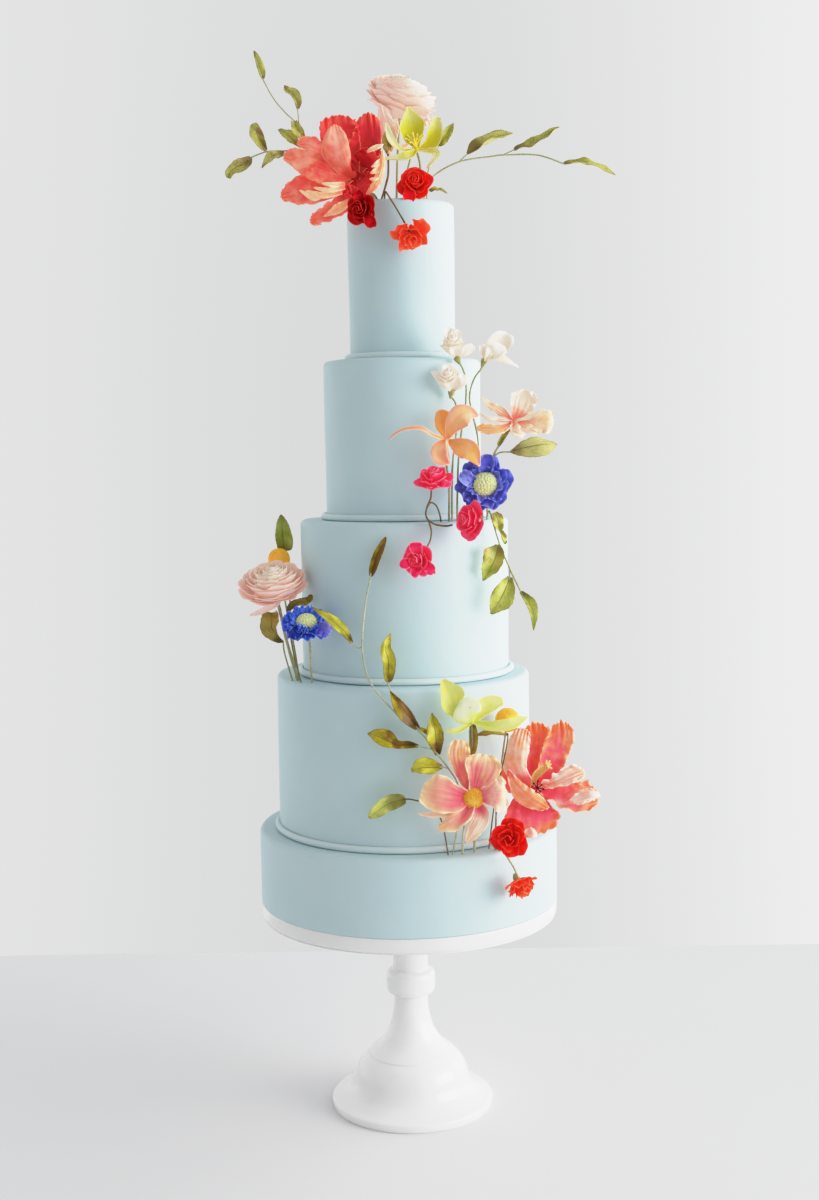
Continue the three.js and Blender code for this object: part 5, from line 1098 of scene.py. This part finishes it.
plant("rose_right_lower", "rose", "crimson_petals", (12.5, -128, 591), paste="crimson", size=15.5,
      axis=(-0.45, -0.88, -0.1), turn=30, tape=brownTape, pieces=[
    petal((0, -5, 6, 4, 4), (-2.5, -7, 13, 7, 7), (-3, -5, 18, 4, 5), tone=0.3),
    petal((6.5, -4, -3.5, 5, 5), (11.5, -7, -9, 5.5, 6), (13, -4, -15, 3, 4), tone=0.2),
    petal((-8, -4, -1.5, 5, 5), (-13, -6, -2, 5.5, 5.5), (-17, -4, -1, 1.5, 2)),
    petal((-1.5, -4, -7.5, 5, 5), (-2.5, -6, -12, 5, 5.5), (0.5, -4, -16.5, 2, 2), tone=0.1),
])
plant("vine_curl", "vine", "wire", (25.5, -108, 647.5), tape=brownTape, pieces=[
    wire(0.9, (1.5, -4, 9.5), (1, -1, 2), (-2.5, 1, -6.5), (-4, 2, -13.5), (-1.5, -2, -19.5),
         (5.5, -5, -23.5), (15, -7, -25), (21.5, -7, -24)),
    wire(0.8, (-2.5, 1, -6.5), (1.5, 4, -2.5), (6.5, 6, -6), (9.5, 8, -14), (11, 16, -22)),
    wire(0.8, (-1.5, -2, -19.5), (1, -8, -29.5), (-0.5, -13, -39), (-4, -15, -45)),
])
plant("branch_trailing", "branch", "green_leaves", (93.5, -80, 603), leaf="trailing", pieces=[
    leaf((-4, 0, 30, 3, 3), (-1, -4, 22, 6.5, 6.5), (2, -2, 11, 1, 1), tone=0.2, warm=0.2, tooth=1),
    leaf((2.5, 2, 12), (4.5, 0, 6), (6.5, 1, -1.5), width=6, peak=0.5, taper=1.05),
    leaf((-0.5, -1, -1.5, 3, 3), (-3, -4, -10.5, 9.5, 12), (-6.5, -6, -20, 10, 10.5),
         (-11.5, -5, -29, 6, 6.5), (-16.5, -4, -37, 0.5, 0.5), tone=0.25, warm=0.4, tooth=1.6, teeth=7,
         frill=2.2, cup=0.15),
    leaf((10.5, 0, -33.5, 3, 3), (6.5, -4, -43, 8.5, 9.5), (1.5, -6, -53, 12, 12.5),
         (-3.5, -5, -61.5, 8, 8.5), (-9, -3, -70.5, 1, 1), tone=0.3, warm=0.3, tooth=1.6, teeth=7,
         frill=2.2, cup=0.15),
    leaf((21.5, 0, -48.5, 2, 2), (29, -4, -59.5, 8, 3.5), (34, -2, -71.5, 4.5, 4), (34, 2, -88, 0.5, 0.5),
         tone=0.1, warm=0.3, tooth=1.2, cup=0.35),
    wire(0.9, (23, -1, -50.5), (21.5, 0, -48.5), (10.5, 0, -25), (0.5, 0, 0), (-6.5, -2, 24),
         (-9, 8, 31.5), (-11, 20, 22.5)),
    wire(0.6, (9.5, -1, -36), (10.5, 0, -33.5), (10.5, 0, -25)),
    wire(0.6, (-3, -1, 28), (-4, 0, 30), (-6.5, -2, 24)),
    wire(0.6, (3, 1, 10), (2.5, 2, 12), (-1.5, -2, 18), (-6.5, -2, 24)),
    wire(0.6, (-1, -2, -4), (-0.5, -1, -1.5), (0.5, 0, 0)),
])
plant("leaf_upright", "branch", "green_leaves", (-126.5, 17, 593), leaf="fresh", pieces=[
    leaf((0.5, 0, -1), (-1, -3, 18), (-2.5, 0, 37.5), cup=0.3, width=19, peak=0.36, taper=1.15),
    wire(0.9, (0.5, -0.5, 1.5), (0.5, 0, -1), (3.5, -3, -26), (6, -13, -51.5), (9, -33, -86),
         (14.5, -61.5, -126.5)),
])
plant("craspedia_left", "ball", "golden_ball", (-130.5, 2, 584.5), size=11.5, pieces=[
    wire(1, (0, 0, 0), (5.5, -6, -42), (14.5, -28, -81.5), (22.5, -56, -118)),
])
plant("ranunculus_left", "ranunculus", "blush_petals", (-133, -52, 563.5), paste="blush", size=33.6,
      axis=(-0.1, -0.34, 0.93), turn=0, pieces=[
    petal((6, 2, -12.5, 1.5, 1.5), (4, -3, -18, 3.5, 3), (-4.5, -7, -23, 3.5, 3),
          (-14.5, -8, -27.5, 3, 2.5), (-23, -8, -30.5, 1, 1), frill=0.6, tooth=0.2),
    wire(1.6, (0, 0, 0), (6.5, 0, -26.5), (12.5, -2, -56), (24, -10, -97)),
])
plant("leaf_curled", "branch", "brown_leaves", (-124.5, -44, 503.5), leaf="autumn", pieces=[
    leaf((0, 0, 0, 1, 1), (-5.5, -6, 7, 7, 2), (-10, -8, 15.5, 11, 5.5), (-10.5, -8, 24.5, 10, 9.5),
         (-10.5, -4, 31.5, 5, 6), warm=0.3, tone=0.3, tooth=1.4, frill=1.6, cup=0.25),
    wire(0.8, (-1.5, -2, 2), (0, 0, 0), (1.5, -4, -11), (10, -18, -37)),
])
plant("leaf_brown", "branch", "brown_leaves", (-118, -56, 537), leaf="autumn", tape=brownTape, pieces=[
    leaf((-1, 0, -0.5), (12.5, -4, 7.5), (21.5, -4, 9), (24, -2, 16), cup=0.35, face="lifted", width=10,
         peak=0.5, taper=1),
    wire(0.7, (2.5, -1, 1.5), (-1, 0, -0.5), (3, -6, -29.5), (7, -12, -49), (13, -18.5, -70.5)),
])
plant("anemone_left", "anemone", "blue_petals", (-97, -93, 526), paste="blue", size=25,
      axis=(0.05, -0.55, 0.83), turn=12, disc=9.6, pieces=[
    petal((-6, -8, -2, 5, 5), (-10.5, -17, -6.5, 7, 7), (-12.5, -18, -12.5, 4, 5), deep=0.9),
    petal((9.5, -8, 0, 5, 5), (17.5, -13, -4, 8, 8), (24, -12, -8, 5, 5), paste="violet", tone=0.4,
          warm=0.8),
    petal((-11, -8, 0, 4, 4), (-18.5, -9, 0, 3.5, 3.5), (-24.5, -7, 0.5, 0.5, 0.5), paste="violet"),
    wire(1, (0, 0, 0), (2.5, 5, -20.5), (3, 14.5, -59.5)),
])
plant("vine_long", "vine", "green_leaves", (-42.5, -112, 503), leaf="vine", tape=paleTape, pieces=[
    leaf((9.5, 0, 71.5), (15.5, -2, 90.5), (25, 0, 110), warm=0.75, cup=0.3, width=9.5, peak=0.5,
         taper=1.15),
    leaf((-9.5, 0, 7, 1.5, 1.5), (-17, -2, 19, 5, 5), (-28.5, -4, 30, 5, 5.5), (-47.5, -4, 43, 0.5, 0.5),
         warm=0.2, tone=0.8, deep=0.05, cup=0.3),
    leaf((25, -18, -29.5), (26, -20, -9.5), (23, -18, 4), (28.5, -16, 18), warm=0.3, tone=0.5, cup=0.3,
         width=13.5, peak=0.4, taper=1.3),
    leaf((53, -32, -72, 3, 3), (44, -33, -59.5, 8, 6), (35.5, -30, -48.5, 6.5, 5),
         (27, -26, -36.5, 0.5, 0.5), warm=0.75, tone=0.1, deep=0.2, cup=0.3),
    leaf((53.5, -33, -89.5, 1.5, 1.5), (44.5, -34, -88.5, 3.5, 4), (33, -35, -87.5, 4.5, 4.5),
         (22.5, -35, -82.5, 8.5, 9), (13, -33, -78.5, 7, 6), (4.5, -31, -77, 0.5, 0.5), warm=0.5,
         deep=0.15, cup=0.15),
    leaf((72, -34, -97.5, 2.5, 2.5), (70.5, -36, -85, 7.5, 7.5), (69.5, -37, -73, 8.5, 8),
         (67, -34, -57, 0.5, 0.5), warm=0.5, tone=0.3, deep=0.1, cup=0.25),
    leaf((76, -38, -109, 2, 2), (66, -40, -109, 8, 7.5), (56.5, -40, -109, 7, 8.5),
         (46, -37, -112.5, 2, 1.5), warm=0.1, tone=0.6),
    leaf((65.5, -33, -78), (60, -35, -74.5), (54, -36, -71), cup=0.3, width=4.5, peak=0.5, taper=1),
    wire(0.9, (10, -0.5, 74), (9.5, 0, 71.5), (4, 0, 44), (0.5, -4, 4), (6, -16, -25.5), (20.5, -27, -45),
         (32.5, -27, -58), (46, -30, -68.5), (53.5, -31, -74.5), (61.5, -33, -83), (66.5, -35, -92),
         (72.5, -36, -98), (83.5, -37, -113), (91, -36, -128), (91.5, -36, -156.5), (85.5, -23.5, -198)),
    wire(0.7, (-10.5, -0.5, 9), (-9.5, 0, 7), (-3.5, -2, 2), (0.5, -4, 4)),
    wire(0.7, (25, -18.5, -26), (25, -18, -29.5), (28, -24, -38), (33.5, -27, -49), (32.5, -27, -58)),
    wire(0.7, (51, -33.5, -89), (53.5, -33, -89.5), (61, -34, -91), (66.5, -35, -92)),
    wire(0.7, (73.5, -38.5, -109), (76, -38, -109), (80.5, -38, -110), (83.5, -37, -113)),
    wire(0.6, (63.5, -34, -76.5), (65.5, -33, -78), (66, -34, -85.5), (66.5, -35, -92)),
    wire(0.6, (51.5, -32, -70), (53, -32, -72), (53.5, -31, -74.5)),
    wire(0.6, (71.5, -34.5, -95), (72, -34, -97.5), (72.5, -36, -98)),
])
plant("leaf_low_left", "branch", "green_leaves", (-2, -146, 362.5), leaf="trailing",
      tape=brownTape, pieces=[
    leaf((0, 0, 0), (-17, -2, -4), (-36, 1, -18.5), warm=0.2, tone=0.8, deep=0.3, cup=0.25, width=16,
         peak=0.48, taper=1),
    wire(0.7, (-2, -0.5, -0.5), (0, 0, 0), (8, 0, -1), (23.5, -1, -6), (34.5, -1, -22.5),
         (40.5, 7.5, -57.5)),
])
plant("hellebore_low", "hellebore", "lime_petals", (62.5, -142, 436), paste="limeLow", leaf="autumn",
      core=4, tape=paleTape, pieces=[
    petal((-1.5, 0.5, 1, 4.5, 4), (-16.5, 4, 15, 12.5, 10.5), (-22, 4, 26.5, 9.5, 14),
          (-28, 4, 40, 2.5, 3.5), tone=0.1, warm=0.5),
    petal((-0.5, -0.5, -1.5, 4, 4), (-4, -8, 7, 14, 14.5), (-5.5, -6, 16.5, 10, 16),
          (-7.5, -2, 23.5, 4.5, 7.5), tone=0.9, warm=0.1, cup=-0.25),
    petal((1.5, 0.5, 0.5, 3, 3), (14, 4, 12.5, 9.5, 7.5), (21.5, 4, 17.5, 7.5, 8.5), (30.5, 3, 19, 3, 4),
          tone=0.4, warm=0.6),
    petal((1.5, -1, -0.5, 2, 2), (18, -10, -3, 5.5, 6.5), (34, -12, -1.5, 6, 8), (44.5, -8, 2, 4.5, 5.5),
          (53.5, -4, 5, 0.5, 0.5), warm=0.2, cup=0.25, face="lifted"),
    petal((-0.5, -0.5, -1.5, 2, 2), (-13.5, -6, -8, 3, 3.5), (-25.5, -5, -8, 1, 1), tone=0.3, warm=0.2,
          face="lifted"),
    leaf((0.5, 0, -1.5), (1, -1, -20.5), (-2, 0, -36), cup=0.4, width=9.5, taper=0.9),
    wire(1.4, (0, 0, 0), (0.5, 0, -22.5), (1, 3, -52.5), (2.5, 4, -92), (2, 14.5, -131)),
])
plant("craspedia_low", "ball", "golden_ball", (98.5, -112, 432), size=12, pieces=[
    wire(1, (0, 0, 0), (-4, 8, -33.5), (-10.5, 6, -81), (-13, -0.5, -127)),
])
plant("leaf_thin_brown", "branch", "brown_leaves", (97.5, -136, 421.5), leaf="autumn",
      tape=brownTape, pieces=[
    leaf((0, 0, 0), (-15.5, -2, 2), (-31.5, 0, 0.5), cup=0.3, face="lifted", width=5.5, peak=0.4,
         taper=1),
    wire(0.7, (-2.5, -0.5, 0.5), (0, 0, 0), (-2.5, 2, -17.5), (-12.5, 8, -65.5), (-18.5, 19.5, -116.5)),
])
plant("cosmos_front", "cosmos", "peach_petals", (62.5, -158, 365.5), paste="frontCosmos", core=4,
      disc=9.5, tape=paleTape, pieces=[
    petal((-1.5, 0, 0.5, 4, 4), (-16.5, -7, 2.5, 16.5, 11.5), (-31, -10, 5.5, 19, 18),
          (-41, -8, 7, 16.5, 16.5), (-49.5, -4, 9.5, 9.5, 9.5), arc=0.06, cup=0.12),
    petal((0, 0, 2, 4, 4), (3.5, -5, 17.5, 9.5, 12.5), (7.5, -5, 30, 18, 18.5), (9.5, -3, 37, 16.5, 16.5),
          (10.5, 0, 42.5, 9.5, 9.5), tone=0.1, warm=0.3, arc=0.06, cup=0.15),
    petal((1.5, 0, 1, 4, 4), (15.5, -8, 5, 10.5, 12.5), (25, -10, 5.5, 17.5, 19),
          (32.5, -7, 6, 11.5, 10.5), tone=0.5, warm=0.1, arc=0.06, cup=0.12),
    petal((-1, 1, 1.5, 3, 3), (-8.5, 6, 21, 7.5, 6.5), (-12, 7, 38.5, 12, 10.5), (-11.5, 7, 49, 11, 9.5),
          (-11, 7, 54.5, 7.5, 6.5), tone=0.3, warm=0.6, arc=0.08, cup=0.15),
    petal((-0.5, -1, -1.5, 4, 4), (-11, -9, -13.5, 10.5, 7.5), (-22.5, -10, -20.5, 10.5, 8.5),
          (-35, -5, -28.5, 3.5, 3), tone=0.2, warm=0.3, arc=0.06, cup=0.15, face="lifted"),
    petal((-1.5, 0.5, -1, 2, 2), (-22.5, -1, -14, 4, 3.5), (-37.5, 0, -16, 3.5, 3), (-53, 2, -14.5, 1, 1),
          tone=0.9, arc=0.05, face="lifted"),
    petal((1, -0.5, -1.5, 4, 4), (7, -6, -15.5, 8.5, 8.5), (0, -5, -30, 8, 7.5), (-7.5, 2, -45.5, 1.5, 2),
          tone=0.8, arc=0.1, cup=0.3),
    wire(1.1, (0, 0, 0), (-7, 6, -23), (-10, 10, -41.5), (-10, 23, -60.5)),
])
plant("tulip_low", "tulip", "coral_petals", (123, -124, 366.5), paste="tulipLow", core=7, pieces=[
    petal((-1, 3, 1, 7.5, 5.5), (1.5, 14, 23, 12.5, 14.5), (4.5, 17, 43, 15.5, 18),
          (2.5, 14, 62.5, 12.5, 13.5), tone=0.1, warm=0.4, arc=0.12, deep=0.1, rib=0.15, cup=0.3),
    petal((2, 2.5, 0.5, 5.5, 5.5), (15.5, 9, 15, 12.5, 13.5), (24, 12, 32, 15.5, 13.5),
          (29, 12, 48.5, 15.5, 14.5), (28.5, 9, 64, 11.5, 10.5), tone=0.2, warm=0.4, arc=0.12, rib=0.15,
          cup=0.3),
    petal((-2.5, 1, 1.5, 5, 4), (-14.5, -3, 20.5, 14.5, 9.5), (-15.5, -6, 37, 12.5, 12.5),
          (-12.5, -4, 50.5, 10.5, 11.5), (-9, 0, 60, 8.5, 9.5), paste="sunset", tone=0.55, warm=0.75,
          arc=0.08, roll=1.2, tooth=1.4, rib=0.2, frill=2.2, cup=-0.3),
    petal((3, 0, -0.5, 2, 2), (21, -5, 6.5, 7.5, 5.5), (34.5, -6, 12, 13.5, 8.5),
          (49.5, -3, 16, 10.5, 5.5), paste="sunset", tone=0.6, warm=0.3, tooth=2.6, teeth=6, rib=0.8,
          arc=0.08, face="lifted"),
    petal((3, -0.5, -1, 2, 3), (23, -7, -6.5, 10.5, 13.5), (41, -8, -8, 17, 20), (63, -4, -5, 13.5, 13.5),
          tone=0.15, warm=0.15, arc=0.1, tooth=2.4, teeth=7, cup=0.25, face="lifted"),
    petal((-25.5, -10, 20.5, 1.5, 2), (-20.5, -16, 9, 7.5, 5.5), (-13, -19, -0.5, 10.5, 9.5),
          (-0.5, -20, -9, 10.5, 8.5), (14, -16, -17, 5.5, 4), paste="sunset", tone=0.25, warm=0.7,
          arc=0.1, tooth=2, teeth=7, rib=0.2, frill=2.2, crumple=2.4, cup=-0.35),
    petal((-2, -0.5, -2.5, 9.5, 9.5), (-4.5, -6, -18.5, 25, 23), (-3.5, -6, -32, 29.5, 29.5),
          (-1, 0, -50.5, 19, 17), tone=0.1, warm=0.05, arc=0.14, deep=0.15, rib=0.6, ribs=9, tooth=2,
          frill=2.4, cup=0.15, face="lifted"),
    petal((-2, 2.5, -0.5, 3, 3), (-20, 7, 7, 13.5, 8.5), (-32.5, 9, 18.5, 6.5, 6.5), deep=0.3, tooth=1),
    petal((-2, -1.5, 1.5, 2.5, 2.5), (0.5, -9, 14, 4, 4), (6, -12, 20.5, 5, 5),
          (10.5, -14, 24.5, 4.5, 4.5), sort="pistil"),
    petal((30, -12, -14.5, 1, 1), (41, -16, -9.5, 7.5, 5), (52.5, -17, -5.5, 8.5, 5.5),
          (64, -13, -5, 5, 4), paste="sunset", tone=0.7, warm=0.4, tooth=2.6, teeth=6, frill=1.8, rib=0.5,
          cup=-0.2),
    petal((-8.5, -8, -38.5, 4, 4), (-3, -9, -42.5, 5.5, 5), (3, -8, -47.5, 3, 3), tone=1, warm=0.3,
          tooth=1.2, teeth=4, frill=0.6, deep=-1, cup=-0.3),
    wire(1.5, (0, 0, 0), (-13, 8, -28.5), (-27.5, 4, -47), (-30.5, 15, -61.5)),
])
plant("rose_low", "looseRose", "red_petals", (96.5, -156.5, 324.5), paste="scarlet", size=18,
      axis=(-0.2, -0.95, 0.1), turn=25, pieces=[
    wire(1, (0, 0, 0), (-8, 16.5, -15.5), (-10.5, 24.5, -13), (-11.5, 37.5, -19.5)),
])
plant("rose_low_hanging", "looseRose", "red_petals", (108.5, -140, 272.5), paste="vermilion", size=15.5,
      axis=(0.4, -0.5, -0.77), turn=10, pieces=[
    wire(1, (0, 0, 0), (-2.5, -1, 9.5), (-7, -2, 20.5), (-13, 0, 30), (-16.5, 6, 34.5),
         (-17.5, 22, 32.5)),
])
# stamens in tufts, foot: offset from the flower's heart, in tulip_low the pistil's tip; spread:
# degrees; grain: radius of the grain on each end
stamens = {
    "hellebore_top": [dict(foot=(0, -2, 2), axis=(-0.15, -0.6, 0.8), count=9, length=13.5,
                           spread=40, radius=1.0, material=yellowPaste, grain=1.4, seed=9)],
    "hellebore_low": [dict(foot=(2, -2, 8), axis=(0.1, -0.3, 0.95), count=7, length=9,
                           spread=30, radius=0.45, material=creamPaste, grain=1.0, seed=9)],
    "tulip_low": [dict(foot=(10.5, -14, 24.5), axis=(0.6, -0.5, 0.6), count=7, length=5,
                       spread=55, radius=1.1, material=creamPaste, grain=1.5, seed=6),
                  dict(foot=(2, -9, 2), axis=(0.2, -0.9, 0.3), count=7, length=7,
                       spread=60, radius=0.5, material=darkPaste, grain=1.3, seed=4)],
}
# beads: their number; bead: the angle that one spans, in radians; height: its share of the radius
beading = {
    "anemone": dict(flatness=0.62, beads=220, bead=0.115, height=0.13, material=beadSugar,
                    cells=(130, 200)),
    "ball": dict(flatness=1, beads=900, bead=0.062, height=0.045, material=goldSugar,
                 cells=(120, 200)),
    "cosmos": dict(flatness=0.42, beads=700, bead=0.07, height=0.06, material=discSugar,
                   cells=(110, 180)),
}
calyxOutlines = {               # radius and height of the green cup under a rose and a bud
    "rose": [(0, -9.0), (1.2, -8.6), (2.4, -6.8), (3.6, -4.0), (3.4, -1.8), (0, -0.6)],
    "bud": [(0, -8), (1.3, -7.4), (2.2, -5), (3.4, -2), (3.0, 0.4), (0, 0)],
}
innerBud = {"rise": 17, "size": 10.5}   # rosebud held by the outer petals
calyxSet = {"rose": 0.4, "bud": 1.5}    # how far behind the heart: share of the rose's size, mm


def ballOutline(across, along, count):
    return [(across * math.sin(a), -along * math.cos(a)) for a in np.linspace(0, math.pi, count)]


for seed, (name, own) in enumerate(plants.items()):
    kind, heart, axis, size = own["kind"], own["heart"], own.get("axis"), own.get("size")
    paste = petalPaste.get(own.get("paste"))
    blades = [piece for piece in own["pieces"] if piece[0] != "wire"]
    wires = [piece for piece in own["pieces"] if piece[0] == "wire"]
    parts = []
    if kind in roundFlowers:
        parts += wholeFlower(kind, heart, axis, size, own["turn"], paste, 100 + seed)
    if kind in ("rose", "looseRose"):    # knob that closes the middle of a rose
        parts.append(turnedForm(heart, axis, ballOutline(0.24 * size, 0.3 * size, 11), paste,
                                sides=20, smooth=1))
        if own["paste"] != "crimson":
            behind = heart - calyxSet["rose"] * size * unit(np.array(axis, float))
            parts.append(turnedForm(behind, axis, calyxOutlines["rose"], calyxSugar, sides=18))
    if "lean" in own:
        lean = unit(np.array(own["lean"]))
        parts += wholeFlower("rose", heart + lean * innerBud["rise"], lean, innerBud["size"],
                             20 * seed, paste, 300 + seed)
    if kind == "bud":
        foot = np.array(wires[0][1][1], float)
        parts.append(turnedForm(heart + unit(foot) * calyxSet["bud"], -foot, calyxOutlines["bud"],
                                calyxSugar, sides=18))
    if "core" in own:
        core = 0.7 * own["core"]
        parts.append(turnedForm(heart, (0, -1, 0.2), ballOutline(core, core, 9), paste, sides=16,
                                smooth=1))
    for tuft in stamens.get(name, []):
        parts += filaments(heart, **tuft)
    if kind == "anemone":                # a beaded knob above the petals' feet
        parts.append(beadedBall(heart + unit(np.array(axis, float)) * 0.16 * size, axis,
                                own["disc"], **beading[kind]))
    if kind == "ball":                   # size times 0.96, as the beads rise above it
        parts.append(beadedBall(heart, (0, 0, 1), size * 0.96, **beading[kind]))
    if kind == "cosmos" and "disc" in own:
        parts.append(beadedBall(heart + (0, -3.5, 0.5), (0, -1, 0.15), own["disc"],
                                **beading[kind]))
    for k, (sort, points, look) in enumerate(blades):    # no sort: the kind of its plant
        form = {**plainPetal, **petalForms.get(sort or kind, petalForms["leaf"]), **look}
        material = petalPaste[form["paste"]] if "paste" in form else paste
        if sort == "leaf":
            material = leafPaste[own.get("leaf", "olive")]
        if sort == "pistil":
            material = creamPaste
        shape = np.array(points, float)
        shape[:, :3] += heart
        parts.append(blade(shape, form, 1000 + 31 * seed + k, material))
    for k, (sort, points, radius) in enumerate(wires):
        parts.append(tube(heart + points, radius, own.get("tape", greenTape),
                          seed=500 + 7 * seed + k))
    title = "".join(word.capitalize() for word in name.split("_"))
    makePiece(title, [name], parts)
print("flowers done")

# a wide soft window to the right and a little in front, level with the cake, in a pale room: its
# glow is strongest towards the window, then beyond the cake and to the left
light = {
    "windowPlace": (2.27, -0.74, 0.86), "windowSize": (1.74, 1.3), "windowPower": 36,
    "windowColour": (1.0, 1.0, 1.0), "everywhere": 0.11, "beyond": 0.62, "left": 0.76,
    "right": 2.1, "above": 0.14, "roomColour": (0.99, 0.995, 1.0, 1),
}
window = bpy.data.lights.new("window", "AREA")
window.shape, window.size, window.size_y = "RECTANGLE", *light["windowSize"]
window.energy, window.color = light["windowPower"], light["windowColour"]
windowObject = bpy.data.objects.new("window", window)
aim = Vector((0, 0, 0.6)) - Vector(light["windowPlace"])
windowObject.matrix_world = (Matrix.Translation(light["windowPlace"])
                             @ aim.to_track_quat("-Z", "Y").to_matrix().to_4x4())
scene.collection.objects.link(windowObject)

world = bpy.data.worlds.new("room")
scene.world = world
world.use_nodes = True
sky = world.node_tree.nodes["Background"]
way = Signal(world.node_tree.nodes.new("ShaderNodeTexCoord").outputs["Generated"])
x, y, z = way.node("ShaderNodeSeparateXYZ", {}, {0: way}, (0, 1, 2))
glow = (y.step(0, 1) * light["beyond"] + (x * -1).step(0, 1) * light["left"]
        + x.step(0, 1) * light["right"] + z.step(0, 1) * light["above"] + light["everywhere"])
world.node_tree.links.new(glow.socket, sky.inputs["Strength"])
sky.inputs["Color"].default_value = light["roomColour"]

# highlights roll off softly: light in, up to the white level, against light out
rollOff = {"white": 2.2, "points": ((0.66, 0.655), (0.8, 0.755), (1.0, 0.84), (1.27, 0.885),
                                    (1.6, 0.92)), "end": 0.96}
view = scene.view_settings
view.view_transform, view.use_curve_mapping = "Standard", True
view.curve_mapping.white_level = [rollOff["white"]] * 3
shoulder = view.curve_mapping.curves[3]
for lightIn, lightOut in rollOff["points"]:
    shoulder.points.new(lightIn / rollOff["white"], lightOut)
shoulder.points[-1].location = (1, rollOff["end"])
for point in shoulder.points:
    point.handle_type = "VECTOR"
view.curve_mapping.update()

cloth, clothShader, place = startMaterial("tableCloth", 0.8, specular=0.2)
weave = place.noise(1.2, 2)
dress(cloth, clothShader, weave.step(0.3, 0.7).mix("#dfdfe0", "#e3e3e4"), None,
      place.noise(600, 2) * 0.0002, 0.3)
tableMesh = bpy.data.meshes.new("table")
tableMesh.from_pydata([(-3, -3, 0), (3, -3, 0), (3, 0.5, 0), (-3, 0.5, 0)], [], [(0, 1, 2, 3)])
tableMesh.materials.append(cloth)
table = bpy.data.objects.new("table", tableMesh)
scene.collection.objects.link(table)
